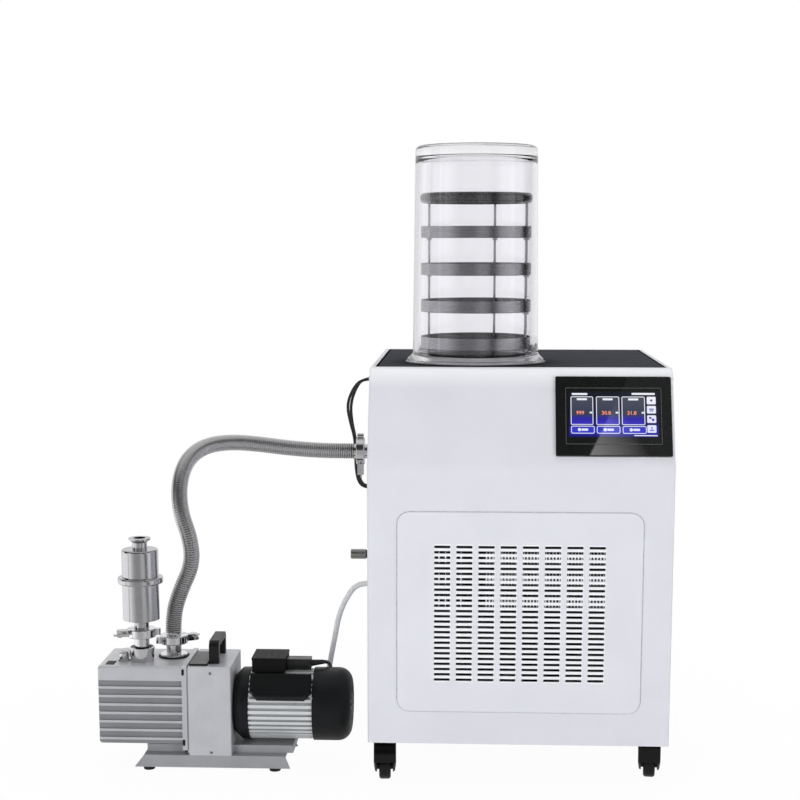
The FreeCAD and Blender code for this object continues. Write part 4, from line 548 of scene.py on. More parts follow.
class Shape(Tree):
    """A Geometry Nodes tree with named sizes. It ends in Realize Instances and Set Material."""

    def __init__(self, name, **sizes):
        super().__init__(bpy.data.node_groups.new(name, "GeometryNodeTree"))
        face = self.tree.interface
        face.new_socket("Geometry", in_out="INPUT", socket_type="NodeSocketGeometry")
        face.new_socket("Geometry", in_out="OUTPUT", socket_type="NodeSocketGeometry")
        for size, value in sizes.items():
            socket = face.new_socket(size, in_out="INPUT", socket_type="NodeSocketFloat")
            socket.default_value = value
        self.given = self.tree.nodes.new("NodeGroupInput")
        self.base = self.size("Geometry")

    def size(self, name):
        return Signal(self, self.given.outputs[name])

    def close(self, geometry, finish):
        real = self.node("GeometryNodeRealizeInstances", {}, {"Geometry": geometry})
        made = self.node("GeometryNodeSetMaterial", {}, {"Geometry": real, "Material": finish})
        self.tree.links.new(made.socket, self.tree.nodes.new("NodeGroupOutput").inputs[0])
        return self

    def run(self, name, base, **sizes):
        """The tree's result on a base object, as a plain mesh object; the base goes."""
        modifier = base.modifiers.new("shape", "NODES")
        modifier.node_group = self.tree
        for socket in self.tree.interface.items_tree:
            if socket.in_out == "INPUT" and socket.name in sizes:
                modifier[socket.identifier] = sizes[socket.name]
        mesh = as_mesh(base)
        mesh.name = name
        bpy.data.objects.remove(base)
        return link(name, mesh)


def smooth(thing, crease=35):
    """Smooth shading that stays crisp at every edge sharper than the crease, in degrees."""
    for face in thing.data.polygons:
        face.use_smooth = True
    thing.data.set_sharp_from_angle(angle=math.radians(crease))
    return thing


def stitch(made, a, b):
    """A band of faces between two closed loops of corners."""
    for k in range(len(a)):
        made.faces.new((a[k - 1], a[k], b[k], b[k - 1]))


def skin(made, loops):
    """A closed skin over loops in a row."""
    for a, b in zip(loops, loops[1:]):
        stitch(made, a, b)
    made.faces.new(loops[0])
    made.faces.new(loops[-1])


def finished(name, fill, slot, finish=None, body="freeze_dryer"):
    """A piece whose closed shape is filled into a bmesh by a function."""
    made = bmesh.new()
    fill(made)
    bmesh.ops.remove_doubles(made, verts=made.verts, dist=1e-6)
    bmesh.ops.recalc_face_normals(made, faces=made.faces)
    mesh = bpy.data.meshes.new(name)
    made.to_mesh(mesh)
    made.free()
    mesh.materials.append(finish or FINISHES[slot])
    piece = link(name, mesh)
    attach(piece, body)
    return smooth(piece)


# ---------------------------------------------------------------- hose, drain and lead

def resampled(tree):
    """The base curve in even steps."""
    return tree.node("GeometryNodeResampleCurve", {"mode": "LENGTH"}, {
        "Curve": tree.base, "Length": tree.size("Step")})


def swept(tree, curve, scale, caps, finish):
    """Ends a tree with a round tube along a curve, as wide as the scale says."""
    ring = tree.node("GeometryNodeCurvePrimitiveCircle", {"mode": "RADIUS"}, {
        "Resolution": 28, "Radius": 1.0})
    tube = tree.node("GeometryNodeCurveToMesh", {}, {
        "Curve": curve, "Profile Curve": ring, "Scale": scale, "Fill Caps": caps})
    return tree.close(tube, finish)


def bellows(finish):
    """Corrugated hose: a tube whose radius dips once in each pitch, deeper near both ends."""
    tree = Shape("bellows", Radius=HOSE_R * MM, Pitch=4.2 * MM, Dip=1.5 * MM, Step=0.7 * MM,
                 Whole=0.68)
    fine = resampled(tree)
    along = tree.node("GeometryNodeSplineParameter", output="Length")
    turn = tree.calculate("COSINE", along / tree.size("Pitch") * (2 * math.pi))
    ends = 1 - tree.calculate("SINE", along / tree.size("Whole") * math.pi)
    groove = (turn * 0.5 + 0.5) ** 1.6 * (ends * 0.88 + 0.12)
    per_point = {"data_type": "FLOAT", "domain": "POINT"}
    marked = tree.node("GeometryNodeStoreNamedAttribute", per_point, {
        "Geometry": fine, "Name": "groove", "Value": groove})
    return swept(tree, marked, tree.size("Radius") - groove * tree.size("Dip"), True, finish)


def pipe(finish):
    """A plain tube along a curve, open at both ends."""
    tree = Shape("pipe", Radius=DRAIN_R * MM, Step=4 * MM)
    return swept(tree, resampled(tree), tree.size("Radius"), False, finish)


hose_line = line("hose_line", HOSE, resolution=24)
hose_path = path_of(hose_line)
hose = smooth(bellows(FINISHES["hose_steel"]).run(
    "bellows_hose", hose_line, Whole=length_of(hose_path)), crease=75)
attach(hose, "freeze_dryer")
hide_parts("vacuum_hose")
mm(*HOSE[0])

drain_line = line("drain_line", DRAIN, resolution=16)
drain_path = path_of(drain_line)
drain = pipe(FINISHES["drain_clear"]).run("drain_hose", drain_line)
wall = drain.modifiers.new("wall", "SOLIDIFY")
wall.thickness = 1.7 * MM
wall.offset = -1
wall_mesh = as_mesh(drain)
drain.modifiers.clear()
drain.data = wall_mesh
smooth(drain)
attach(drain, "freeze_dryer")
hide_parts("drain_tube")
mm(*DRAIN[0])

COIL_X, COIL_Y, COIL_TURNS = -330, 30, 5.5
LEAD_LOW, LEAD_HIGH = 3.8, 10.8


def coil_turns():
    """Five and a half turns: in along the floor, up on the inside, and out again on top."""
    stops = [(45.5, LEAD_LOW), (38.5, LEAD_LOW), (31.5, LEAD_LOW),
             (31.5, LEAD_HIGH), (38.5, LEAD_HIGH), (45.5, LEAD_HIGH), (46.6, 8.4)]
    steps = 14
    swell = 1 / math.cos(math.pi / steps * 0.96)
    for step in range(1, int(COIL_TURNS * steps) + 1):
        turn, share = divmod(step / steps, 1)
        (r0, z0), (r1, z1) = stops[int(turn)], stops[int(turn) + 1]
        radius = r0 + (r1 - r0) * share
        if turn == 2:
            radius -= 3.8 * math.sin(math.pi * share)
        angle = 2 * math.pi * share
        yield (COIL_X + radius * swell * math.cos(angle), COIL_Y + radius * swell * math.sin(angle),
               z0 + (z1 - z0) * share)


lead_points = LEAD + [(-284.5, 23, LEAD_LOW)] + list(coil_turns()) + [(-375.5, 23, 8.8)]
lead = solid_cord("mains_lead", lead_points, LEAD_R, FINISHES["cable_black"])
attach(lead, "freeze_dryer")
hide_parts("pump_lead", "pump_lead_coil")


def hook_tie(angle):
    """A flat strap round the coil's bundle, at an angle about the coil's middle."""
    def make(made):
        inner, outer, low, high, wide, thick = 25.4, 50.2, 0.1, 15.0, 6.0, 0.8
        round_off = 4.0
        near, far = inner + round_off, outer - round_off
        lower, upper = low + round_off, high - round_off
        loop = []
        for cx, cz, start in ((far, upper, 0), (near, upper, 90), (near, lower, 180),
                              (far, lower, 270)):
            loop += [(cx, cz, math.radians(start + 22.5 * k)) for k in range(5)]
        along = Vector((-math.sin(angle), math.cos(angle), 0))
        rows = []
        for shift, deep in ((-wide, 0), (-wide, thick), (wide, thick), (wide, 0)):
            row = []
            for cx, cz, turn in loop:
                reach = round_off - deep
                r, z = cx + reach * math.cos(turn), cz + reach * math.sin(turn)
                spot = Vector((COIL_X + r * math.cos(angle), COIL_Y + r * math.sin(angle), z))
                row.append(made.verts.new((spot + along * shift) * MM))
            rows.append(row)
        for a, b in zip(rows, rows[1:] + rows[:1]):
            stitch(made, a, b)
    return make


ties = [finished(f"coil_tie_{n}", hook_tie(math.radians(angle)), "seal_rubber")
        for n, angle in enumerate((60, 300), 1)]


# ---------------------------------------------------------------- turned pieces and flat plates

def rounded(corners, steps=6):
    """An outline through (across, up, rounding) corners; each rounding is an arc of that radius."""
    outline = []
    for k, (x, y, radius) in enumerate(corners):
        here = Vector((x, y))
        if not radius:
            outline.append(here)
            continue
        back = (Vector(corners[k - 1][:2]) - here).normalized()
        on = (Vector(corners[(k + 1) % len(corners)][:2]) - here).normalized()
        half = back.angle(on) / 2
        middle = here + (back + on).normalized() * (radius / math.sin(half))
        first = here + back * (radius / math.tan(half)) - middle
        last = here + on * (radius / math.tan(half)) - middle
        start = math.atan2(first.y, first.x)
        sweep = (math.atan2(last.y, last.x) - start + math.pi) % (2 * math.pi) - math.pi
        angles = [start + sweep * n / steps for n in range(steps + 1)]
        outline += [middle + Vector((math.cos(a), math.sin(a))) * radius for a in angles]
    return outline


def lathe(outline, axis, along=(0, 0, 1), segments=96):
    """Fills in a closed (radius, height) outline turned about an axis through a point."""
    def fill(made):
        stand = Vector(along).to_track_quat("Z", "Y")
        rings = []
        for r, h in outline:
            turns = [2 * math.pi * k / segments for k in range(segments)] if r > 1e-6 else [0]
            points = [stand @ polar(r, t, h) for t in turns]
            rings.append([made.verts.new((Vector(axis) + point) * MM) for point in points])
        for a, b in zip(rings, rings[1:] + rings[:1]):
            if len(a) == len(b) == 1:
                continue
            for k in range(segments):
                corners = [a[k % len(a)], a[(k + 1) % len(a)],
                           b[(k + 1) % len(b)], b[k % len(b)]]
                made.faces.new([v for n, v in enumerate(corners) if v not in corners[:n]])
    return fill


def plate(outline, low, high, place, hole=None):
    """Fills in a flat outline between two levels. place(u, v, n) gives millimetre points."""
    def fill(made):
        loops = [outline] if hole is None else [outline, hole]
        levels = [[[made.verts.new(Vector(place(u, v, n)) * MM) for u, v in loop]
                   for loop in loops] for n in (low, high)]
        for lower, upper in zip(*levels):
            stitch(made, lower, upper)
        for loops_at in levels:
            if hole is None:
                made.faces.new(loops_at[0])
            else:
                stitch(made, *loops_at)
    return fill


def several(*fills):
    def fill(made):
        for one in fills:
            one(made)
    return fill


def box_outline(u0, v0, u1, v1, radius=0.0, steps=4):
    return rounded([(u0, v0, radius), (u1, v0, radius), (u1, v1, radius), (u0, v1, radius)], steps)


def frame_of(u0, v0, u1, v1, radius, width, low, high, place):
    """A rounded rectangular outline of one width."""
    inner = box_outline(u0 + width, v0 + width, u1 - width, v1 - width, max(radius - width, 0.05))
    return plate(box_outline(u0, v0, u1, v1, radius), low, high, place, hole=inner)


# ---------------------------------------------------------------- bell

BELL_HIGH, CROWN_LOW = 385.3, 366.3
bell_outline = rounded([(107.5, 0, 0), (124.5, 0, 0), (124.5, 3.9, 1.3), (114.5, 12.9, 11),
                        (110, BELL_HIGH, 9), (0, BELL_HIGH, 0), (0, CROWN_LOW, 0),
                        (103, CROWN_LOW, 14)], steps=10)
bell = finished("bell", lathe(bell_outline, BELL_AXIS, segments=160), "clear_plastic")
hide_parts("bell_jar")


# ---------------------------------------------------------------- small parts

def studs(name, places, facing, slot, finish=None, wide=3.6, narrow=None, high=1.6, sides=20,
          raised=0.0, body="freeze_dryer", stretch=(1, 1, 1)):
    """Screw heads or clips: a tapered disc on every point, standing up the facing way."""
    tree = Shape("studs", Wide=wide * MM, Narrow=(narrow or wide * 0.72) * MM, High=high * MM,
                 Sides=sides, Raised=raised * MM)
    disc = tree.node("GeometryNodeMeshCone", {"fill_type": "NGON"}, {
        "Vertices": tree.size("Sides"), "Radius Top": tree.size("Narrow"),
        "Radius Bottom": tree.size("Wide"), "Depth": tree.size("High")})
    lift = tree.node("ShaderNodeCombineXYZ", {}, {"Z": tree.size("Raised")})
    moved = tree.node("GeometryNodeTransform", {}, {
        "Geometry": disc, "Translation": lift, "Scale": stretch})
    stand = Vector(facing).to_track_quat("Z", "Y").to_euler()
    put = tree.node("GeometryNodeInstanceOnPoints", {}, {
        "Points": tree.base, "Instance": moved, "Rotation": tuple(stand)})
    tree.close(put, finish or FINISHES[slot])
    mesh = bpy.data.meshes.new(name)
    mesh.from_pydata([mm(*place) for place in places], [], [])
    piece = smooth(tree.run(name, link(name, mesh)))
    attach(piece, body)


def screws(name, places, facing, head=3.6):
    """Pan-head screws with a dark hexagon for the socket, which is painted shade."""
    studs(name + "_heads", places, facing, "zinc", wide=head, high=head * 0.45)
    # a flat dark hexagon on each head: painted shade for the socket
    studs(name + "_sockets", places, facing, "seal_rubber", wide=head * 0.42, narrow=head * 0.42,
          high=0.1, sides=6, raised=head * 0.45)


def spots(low, high, count, line):
    """Evenly spaced numbers from low to high, each put through a function that gives a point."""
    return [line(low + (high - low) * k / (count - 1)) for k in range(count)]


def box_mm(node):
    return [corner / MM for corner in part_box(node)]


block_front = box_mm("pump_block")[0].y
screws("cover_screws", [(-306.3, block_front, z) for z in (184.0, 36.3)], (0, -1, 0), head=2.9)
rear_low, rear_high = box_mm("rear_panel")
EDGE = 9.0
screws("rear_screws",
       [point for x in (rear_low.x + EDGE, rear_high.x - EDGE)
        for point in spots(rear_low.z + 24, rear_high.z - 24, 4, lambda z: (x, rear_high.y, z))]
       + [point for z in (rear_low.z + EDGE, rear_high.z - EDGE)
          for point in spots(rear_low.x + 90, rear_high.x - 90, 3, lambda x: (x, rear_high.y, z))],
       (0, 1, 0))
for name, side in (("side_panel_left", -1), ("side_panel_right", 1)):
    low, high = box_mm(name)
    face = low.x if side < 0 else high.x
    screws(name + "_screws",
           [point for z in (low.z + 14, high.z - 20)
            for point in spots(low.y + 60, high.y - 30, 3, lambda y: (face, y, z))], (side, 0, 0))
for name, x, side in (("housing_clips_near", -235.6, -1), ("housing_clips_far", -125.4, 1)):
    studs(name, [(x, -202.7, 169.7), (x, -228.5, 139.1)], (side, 0, 0), "polished_steel",
          wide=2.6, high=3.2)


def level(u, v, n):
    return (u, v, n)


def upright(y):
    """Places a flat outline in front of a wall at this distance."""
    return lambda u, v, n: (u, y - n, v)


BLOCK_TOP, BLOCK_FRONT, PANEL_FRONT, MESH_FRONT = 196.0, -232.0, -287.0, -286.2


def on_top(outline, low, high):
    """A flat mark on the pump's top, from one height over it to another."""
    return plate(outline, BLOCK_TOP + low, BLOCK_TOP + high, level)


def ring_of(inner, outer, low, high, axis, drop, across=0.6):
    """A ring whose two upper edges are bevelled down and across."""
    return lathe([(inner, low), (outer, low), (outer, high - drop), (outer - across, high),
                  (inner + across, high), (inner, high - drop)], axis)


finished("block_name_plate", on_top(box_outline(-346, -224, -312.5, -134, 2.5), -0.1, 3.4),
         "seal_rubber")
finished("block_name_face", on_top(box_outline(-345, -223, -313.5, -135, 2.0), 3.3, 4.2),
         "black_plastic",
         rubber("plate_grey", tone(92, 91, 91), rough=0.5, grain=0.0016, depth=0.00005))
finished("oil_box_label", on_top(box_outline(-499, -222, -483, -196, 1.0), -0.1, 0.4),
         "seal_rubber")
# the end plate's two slots are flat dark sheets: painted shade for the notches
for number, z in enumerate((185.6, 54.3), 1):
    finished(f"end_plate_slot_shade_{number}",
             plate(box_outline(-358.4, z - 6, -353.6, z + 6, 2.3), -0.1, 0.35,
                   upright(BLOCK_FRONT)),
             "seal_rubber")
finished("inlet_gasket", ring_of(24.6, 28.4, -0.1, 2.4, (-385.5, -154, BLOCK_TOP), 0.5),
         "seal_rubber")
panel_low, panel_high = box_mm("access_panel")
SEAM, PANEL_CORNER_R = 1.3, 22
# a grey strip round the access panel: painted shade in the gap round it
finished("access_panel_gap_shade",
         frame_of(panel_low.x - SEAM, panel_low.z - SEAM, panel_high.x + SEAM, panel_high.z + SEAM,
                  PANEL_CORNER_R + SEAM, SEAM, -0.2, 0.25, upright(PANEL_FRONT)),
         "seal_rubber", rubber("seam_grey", tone(156, 157, 162), rough=0.6))

# a mesh of upright lozenges shows through three bands of the slots
BAND_Z = (411.9, 374.1, 333.5)
MESH_COUNTS = ((1, 3), (1,), (2, 3, 4)) + ((0, 1, 2, 3, 4),) * 5
studs("slot_mesh",
      [(SLOT_X + SLOT_STEP * column + 2.5 + 5.7 * k, MESH_FRONT, z) for z in BAND_Z
       for column, kept in enumerate(MESH_COUNTS) for k in kept], (0, -1, 0), "cabinet_white",
      Finish("mesh_white", base_color=tone(230, 231, 235), roughness=0.5).material,
      wide=1.3, narrow=1.3, high=0.5, sides=4, stretch=(1, 9.2, 1))
finished("bell_seal_lip", ring_of(103.6, 106.8, -0.1, 9.0, BELL_AXIS, 0.6),
         "seal_rubber", NODE_FINISHES["bell_seal"])


# ---------------------------------------------------------------- casters

def loft(outline, levels, place):
    """Fills in an outline carried through (shrink, n) levels, closed at both ends."""
    middle = sum((Vector(point) for point in outline), Vector((0, 0))) / len(outline)

    def fill(made):
        loops = []
        for shrink, n in levels:
            points = [middle + (Vector(point) - middle) * shrink for point in outline]
            loops.append([made.verts.new(Vector(place(*point, n)) * MM) for point in points])
        skin(made, loops)
    return fill


HOOD_BLACK = moulded("hood_black", tone(8, 8, 9), rough=0.24, depth=0.000006,
                     specular_ior_level=0.3)
CROWN = [(-33, 14, 0), (-33, 48.4, 26), (31, 48.4, 15)]
ARCH = rounded(CROWN + [(33, 10, 0)], steps=9)
CHEEK = rounded(CROWN + [(33, 10, 4), (10, -10, 6), (-10, -10, 6)], steps=9)
HOLLOW_R, ARCH_HALF, PIN_HALF, TAPER_UNDER = 29.4, 15.7, 17, 14
HOLLOW = [(HOLLOW_R * math.cos(math.radians(a)), HOLLOW_R * math.sin(math.radians(a)))
          for a in range(20, 153, 6)]
CHEEK_LEVELS = ((0.9, 20.0), (0.97, 19.3), (1.0, 17.8), (1.0, 15.6))
for name, heading in (("front_left", 93), ("front_right", 264), ("rear_left", 84),
                      ("rear_right", 97)):
    low, high = box_mm("caster_wheel_" + name)
    axle = (low + high) / 2
    ahead = polar(1, math.radians(heading))
    across = Vector((-ahead.y, ahead.x, 0))

    def at_axle(u, v, n, axle=axle, ahead=ahead, across=across):
        """Places (ahead, up, across) about the axle; the cheeks draw in below the crown."""
        drawn_in = 1 - 0.004 * max(0.0, TAPER_UNDER - v)
        return axle + ahead * u + Vector((0, 0, v)) + across * (n * drawn_in)

    cheeks = [loft(CHEEK, [(shrink, side * n) for shrink, n in CHEEK_LEVELS], at_axle)
              for side in (-1, 1)]
    pin = lathe([(0, -PIN_HALF), (3.5, -PIN_HALF), (3.5, PIN_HALF), (0, PIN_HALF)], axle, across,
                segments=24)
    arch = plate(ARCH + HOLLOW, -ARCH_HALF, ARCH_HALF, at_axle)
    hood = finished("caster_hood_" + name, several(arch, *cheeks, pin), "black_plastic",
                    HOOD_BLACK, body="fork_" + name)
    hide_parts("caster_fork_" + name)
    for end, letter in ((-1, "a"), (1, "b")):
        studs(f"axle_cap_{name}_{letter}", [tuple(axle + across * (end * 18.2))],
              tuple(across * end), "polished_steel", wide=4.2, narrow=3.4, body="fork_" + name)


# ---------------------------------------------------------------- lead sleeve

def bead_sleeve(points, length, start, end, rings=7, sides=20):
    """Tapered sleeve with grooves round a cord's first stretch, along the cord's own points."""
    run, path = 0.0, []
    steps = int(length / MM / 0.4)
    for a, b in zip(points, points[1:]):
        a, b = Vector(a), Vector(b)
        step = (b - a).length
        path.append((run, a, (b - a).normalized()))
        run += step
        if run > length:
            break

    def at(reach):
        for (r0, p0, d0), (r1, p1, d1) in zip(path, path[1:]):
            if reach <= r1:
                share = (reach - r0) / (r1 - r0)
                return p0.lerp(p1, share), d0.lerp(d1, share).normalized()
        return path[-1][1], path[-1][2]

    def fill(made):
        loops = []
        for k in range(steps + 1):
            reach = length * k / steps
            centre, ahead = at(reach)
            radius = start + (end - start) * k / steps
            if 0.12 < k / steps < 1:
                radius -= 0.55 * max(0.0, math.cos(2 * math.pi * rings * k / steps))
            turn = ahead.to_track_quat("Z", "Y")
            points = [turn @ polar(radius, 2 * math.pi * n / sides) for n in range(sides)]
            loops.append([made.verts.new(centre + point * MM) for point in points])
        skin(made, loops)
    return fill


lead_line = line("lead_line", lead_points, resolution=24)
sleeve = finished("lead_sleeve", bead_sleeve(path_of(lead_line), 24 * MM, 6.4, 4.1), "cable_black")
bpy.data.objects.remove(lead_line)
mm(*LEAD[0])


# ---------------------------------------------------------------- display

PANEL_CORNER = Vector((306.5, -278.9, 588.2))
PANEL_RISE = Vector((0, 78, 165)).normalized()
PANEL_OUT = Vector((1, 0, 0)).cross(PANEL_RISE)
SCREEN_FLOOR = 4.2


def on_panel(u, v, n):
    return PANEL_CORNER + Vector((u, 0, 0)) + PANEL_RISE * v + PANEL_OUT * n


def screen_glow(name, *stops):
    """Light from behind the glass, in bands of colour by height over the panel's lower edge."""
    f = Finish(name, base_color=(0.002, 0.002, 0.002, 1.0), emission_strength=1.0,
               specular_ior_level=0.1, coat_weight=1.0, coat_roughness=0.02)
    height = f.axes(centre=tuple(PANEL_CORNER * MM))[2]
    (level, glow), *others = stops
    for next_level, colour in others:
        glow = f.colour(height, glow, colour, level * MM * PANEL_RISE.z,
                        next_level * MM * PANEL_RISE.z)
        level = next_level
    f.set("Emission Color", glow)
    return f.material


SCREEN_DARK = screen_glow(
    "screen_back", (35, tone(7, 8, 22)), (41, tone(36, 34, 150)), (52, tone(44, 42, 170)),
    (58, tone(30, 30, 110)), (72, tone(20, 22, 60)), (116, tone(20, 23, 38)))
SCREEN_CARD = screen_glow(
    "screen_cards", (57, tone(62, 48, 196)), (70, tone(44, 38, 165)), (78, tone(56, 62, 84)),
    (110, tone(74, 78, 92)))
SCREEN_WHITE = screen_glow("screen_white", (36, tone(226, 228, 255)), (116, tone(244, 245, 252)))
SCREEN_BLUE = screen_glow(
    "screen_blue", (36, tone(44, 46, 205)), (60, tone(60, 66, 190)), (110, tone(74, 80, 130)))
SCREEN_RED = screen_glow("screen_red", (70, tone(255, 140, 112)), (90, tone(255, 156, 134)))
SCREEN_EDGE = Finish("screen_edge", base_color=tone(104, 106, 106), roughness=0.35,
                     metallic=0.4).material

# heights over the screen's floor, from and to
BACK_LAYER, FILL_LAYER, RIM_LAYER, EDGE_LAYER = (0.05, 0.15), (0.2, 0.3), (0.3, 0.45), (-0.1, 0.75)
MARK_LOW, SIGN_LOW, MARK_THICK, FIGURE_LOW = 0.5, 0.65, 0.15, 0.55


def lit(name, finish, *fills):
    return finished(name, several(*fills), "display_black", finish)


def sheet(corners, radius, layer):
    """A flat mark on the screen, between its two corners."""
    low, high = (SCREEN_FLOOR + height for height in layer)
    return plate(box_outline(*corners, radius), low, high, on_panel)


def rim(corners, radius, width, layer):
    """The outline of a mark on the screen."""
    low, high = (SCREEN_FLOOR + height for height in layer)
    return frame_of(*corners, radius, width, low, high, on_panel)


def inset(corners, by):
    u0, v0, u1, v1 = corners
    return u0 + by, v0 + by, u1 - by, v1 - by


def bar(u, v, wide, high, radius=0.0, low=MARK_LOW):
    """A flat mark centred on (u, v)."""
    corners = u - wide / 2, v - high / 2, u + wide / 2, v + high / 2
    return sheet(corners, radius, (low, low + MARK_THICK))


CARDS = [(a, 56.6, b, 108.6) for a, b in ((26.2, 65.0), (70.0, 110.0), (114.0, 154.0))]
PILLS = [(a, 40.7, b, 54.8) for a, b in ((26.5, 67.0), (70.6, 111.0), (115.0, 156.0))]
CARD_MIDDLES, PILL_MIDDLES = ([(a + b) / 2 for a, _, b, _ in row] for row in (CARDS, PILLS))
ICON_LOWS = (42.5, 60.5, 77.7, 94.5)
READINGS = (("999", 42.6, 61.0), ("30.8", 87.5, 105.7), ("31.8", 131.4, 150.3))
SIGNS = ((165, 101.5, 4.0, 4.0, 1.9), (165, 85.6, 8.4, 2.0, 0.6), (165, 82.4, 6.2, 1.8, 0.6),
         (162.6, 69.6, 4.4, 3.4, 1.0), (167.4, 66.2, 4.4, 4.4, 1.4), (165, 50.8, 1.8, 4.4, 0.6),
         (165, 46.8, 7.6, 1.6, 0.5))

lit("screen_back", SCREEN_DARK, sheet((23.5, 34.0, 176.5, 117.5), 0.0, BACK_LAYER))
lit("screen_edge", SCREEN_EDGE, rim((17.4, 21.4, 182.6, 124.6), 1.2, 0.9, EDGE_LAYER))
lit("screen_cards", SCREEN_CARD, *(sheet(inset(card, 0.6), 2.0, FILL_LAYER) for card in CARDS))
lit("screen_outlines", SCREEN_WHITE, *(rim(card, 2.6, 1.3, RIM_LAYER) for card in CARDS),
    *(rim(pill, 3.2, 1.3, RIM_LAYER) for pill in PILLS))
lit("screen_pills", SCREEN_BLUE, *(sheet(inset(pill, 1.2), 2.2, FILL_LAYER) for pill in PILLS))
lit("screen_marks", SCREEN_WHITE,
    bar(41.8, 112.9, 27, 3.6, 1.2), bar(151.5, 113.5, 40, 3.6, 1.2), bar(154.5, 37.4, 40, 1.9, 0.4),
    *(bar(u, 103.4, 17.5, 3.6, 0.8) for u in CARD_MIDDLES),
    *(bar(u, 79.0, 4.6, 3.2, 0.9) for _, _, u in READINGS),
    *(bar(u - 5.8, 47.8, 6.0, 6.0, 2.9) for u in PILL_MIDDLES),
    *(bar(u + 3.4, 47.8, 11.5, 4.2, 1.2) for u in PILL_MIDDLES),
    *(bar(165.0, v + 7, 15.4, 13.8, 1.6) for v in ICON_LOWS))
lit("screen_signs", SCREEN_BLUE, *(bar(*sign, low=SIGN_LOW) for sign in SIGNS))


def figures(text, high, u, v, level):
    """Lit figures of one height, centred on (u, v) of the panel."""
    words = bpy.data.curves.new("figures", "FONT")
    words.body, words.extrude, words.offset = text, 0.02, 0.022
    words.resolution_u = 2
    thing = link("figures", words)
    flat = as_mesh(thing)
    bpy.data.objects.remove(thing)

    def fill(made):
        low = [min(v.co[k] for v in flat.vertices) for k in range(2)]
        top = [max(v.co[k] for v in flat.vertices) for k in range(2)]
        size = high / (top[1] - low[1])
        for vertex in flat.vertices:
            x, y = ((vertex.co[k] - (low[k] + top[k]) / 2) * size for k in range(2))
            vertex.co = on_panel(u + x, v + y, level + vertex.co.z * 5) * MM
        made.from_mesh(flat)
    return fill


lit("screen_figures", SCREEN_RED,
    *(figures(text, 7.0, u, 78.6, SCREEN_FLOOR + FIGURE_LOW) for text, u, _ in READINGS))


# ---------------------------------------------------------------- studio

def softbox(name, place, aim, wide, high, power):
    lamp = bpy.data.lights.new(name, "AREA")
    lamp.shape = "RECTANGLE"
    lamp.size, lamp.size_y, lamp.energy = wide, high, power
    box = link(name, lamp)
    box.location = place
    box.rotation_euler = (Vector(aim) - Vector(place)).to_track_quat("-Z", "Y").to_euler()
    box.visible_camera = box.visible_transmission = box.visible_glossy = False


softbox("key", (-1.7, -2.7, 0.65), (0.1, -0.1, 0.12), 1.4, 1.5, 40)
softbox("fill", (2.6, -2.4, 0.5), (0.2, -0.1, 0.12), 1.2, 1.2, 35)
softbox("top", (0.2, 0.1, 3.2), (0.2, 0.0, 0.7), 2.2, 1.6, 20)
softbox("back", (-0.4, 2.6, 1.8), (0.1, 0.2, 0.6), 2.0, 1.6, 24)

# brightness of the walls by heading in degrees: 0 is towards the viewer and 90 to the right
WALLS_GLOW = 1.5
WALLS = ((-180, 0.8), (-132, 0.8), (-112, 1.3), (-72, 1.4), (-66, 0.7), (-60, 1.3), (-46, 0.8),
         (-30, 0.45), (-4, 0.42), (10, 0.72), (24, 0.6), (31, 0.2), (38, 0.24), (48, 0.8),
         (70, 1.15), (84, 1.1), (99, 1.1), (106, 0.05), (124, 0.03), (134, 0.8), (155, 0.95),
         (180, 0.95))


def surroundings(tree, across, away, up):
    """What metal and glass mirror: a bright left, a broken front, one dark screen on the right."""
    heading = tree.calculate("ARCTAN2", across, away * -1.0)
    stops = [(0.5 + angle / 360, (glow / WALLS_GLOW,) * 3 + (1.0,)) for angle, glow in WALLS]
    walls = tree.node("ShaderNodeValToRGB", {"stops": stops}, {
        "Fac": heading / (2 * math.pi) + 0.5})
    low = tree.between(up, 1.0, 0.1, 0.12, 0.34)
    behind = tree.between(away, 0.0, 0.95, 0.32, 0.6)
    ceiling = tree.between(up, 0.0, 0.7, 0.35, 0.9) * tree.between(away, 0.0, 1.0, -0.6, -0.2)
    behind = behind * tree.between(up, 0.0, 1.0, 0.05, 0.2)
    return tree.largest(walls * low * WALLS_GLOW, behind, ceiling)


def rays(tree):
    """How a ray arrives: straight from the eye, even through glass, or by way of a mirror."""
    path = {ray: tree.node("ShaderNodeLightPath", output=ray) for ray in (
        "Is Camera Ray", "Is Transmission Ray", "Is Glossy Ray", "Glossy Depth")}
    bounced = path["Glossy Depth"] > 0.5
    straight = tree.largest(path["Is Camera Ray"], path["Is Transmission Ray"] * (1 - bounced))
    mirrored = tree.largest(path["Is Glossy Ray"], path["Is Transmission Ray"] * bounced)
    return straight, mirrored * (1 - straight)


AMBIENT = 0.5

world = bpy.data.worlds.new("studio")
bpy.context.scene.world = world
world.use_nodes = True
room = Tree(world.node_tree)
outward = room.node("ShaderNodeTexCoord", output="Generated")
heading = [room.node("ShaderNodeSeparateXYZ", {}, {0: outward}, output=axis) for axis in "XYZ"]
straight, mirrored = rays(room)
room.feed(world.node_tree.nodes["Background"].inputs["Color"], (1, 1, 1, 1))
room.feed(world.node_tree.nodes["Background"].inputs["Strength"],
          AMBIENT + straight * (1 - AMBIENT) + mirrored * (surroundings(room, *heading) - AMBIENT))


def sheet_of(name, corners, finish):
    mesh = bpy.data.meshes.new(name)
    mesh.from_pydata(corners, [], [tuple(range(len(corners)))])
    mesh.materials.append(finish)
    thing = link(name, mesh)
    return thing


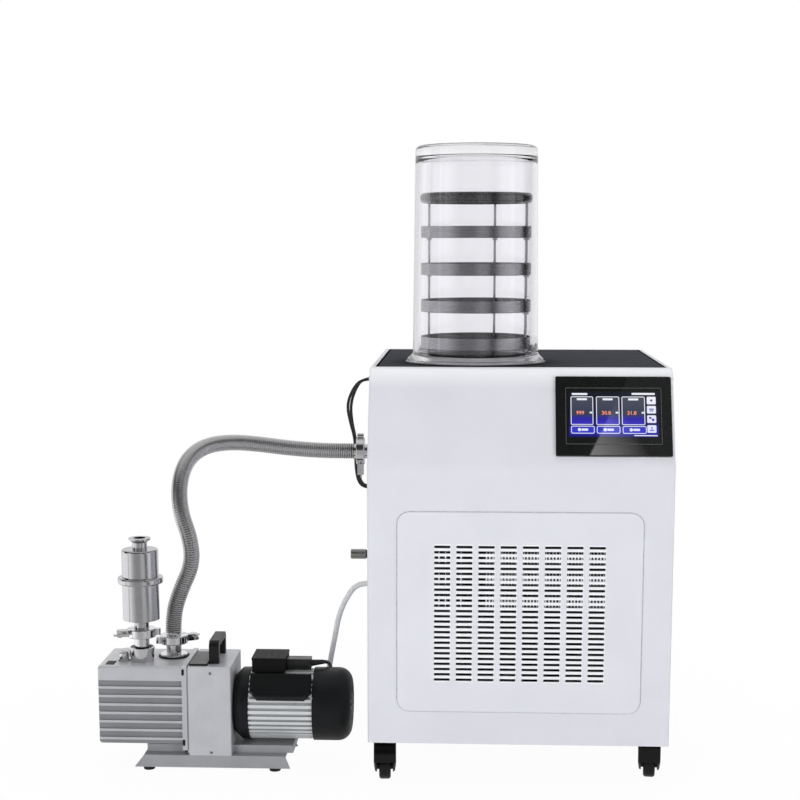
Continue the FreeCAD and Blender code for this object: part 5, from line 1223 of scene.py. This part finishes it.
def floor_finish():
    """Pale floor: as bright as the air behind it to the eye, with the object's shadow left on it."""
    f = Finish("floor_pale", base_color=(0.86, 0.86, 0.865, 1.0), roughness=0.6)
    straight, mirrored = rays(f)
    x, y, _ = f.axes()
    reach = (x * x + y * y) ** 0.5
    far = f.between(reach, 0.0, 1.0, 0.7, 1.5)
    glow = 0.55 * (1 - far) + surroundings(f, x / reach, y / reach, 0.0 * x) * far
    light = f.node("ShaderNodeEmission", {}, {
        "Color": (1, 1, 1, 1), "Strength": straight + mirrored * glow})
    share = f.largest(straight * f.between(reach, 0.965, 1.0, 0.5, 1.2), mirrored)
    mixed = f.node("ShaderNodeMixShader", {}, {
        0: share, 1: Signal(f, f.shader.outputs[0]), 2: light})
    f.tree.links.new(mixed.socket, f.tree.nodes["Material Output"].inputs["Surface"])
    return f.material


def window_finish():
    """A lit window that the display mirrors: bright at its slanted edge and dimmer away from it."""
    f = Finish("window_light", base_color=(0.0, 0.0, 0.0, 1.0), specular_ior_level=0.0,
               emission_strength=4.6)
    beyond = f.axes(centre=(0.576, -2.4, 2.572), turn=(0, 0.377, 0))[0]
    f.set("Emission Color", f.colour(beyond, (1, 1, 1, 1), (0.05, 0.05, 0.05, 1), 0.0, 0.2))
    return f.material


FLOOR = 14.0
sheet_of("floor", [(-FLOOR, -FLOOR, 0), (FLOOR, -FLOOR, 0), (FLOOR, FLOOR, 0), (-FLOOR, FLOOR, 0)],
         floor_finish())
flag = Finish("flag_black", base_color=(0.02, 0.02, 0.02, 1.0), roughness=1.0).material
cards = [sheet_of(name, [(x, near, 0.0), (x, far, 0.0), (x, far, 3.0), (x, near, 3.0)], flag)
         for name, x, near, far in (("flag_left", -3.2, -1.2, 0.2), ("flag_right", 3.2, -0.9, 0.6))]
cards.append(sheet_of("window", [(x, -2.4, z) for x, z in (
    (0.468, 2.3), (1.2, 2.3), (1.2, 3.3), (0.864, 3.3))], window_finish()))
for card in cards:
    card.visible_camera = card.visible_transmission = False
    card.visible_diffuse = card.visible_shadow = False
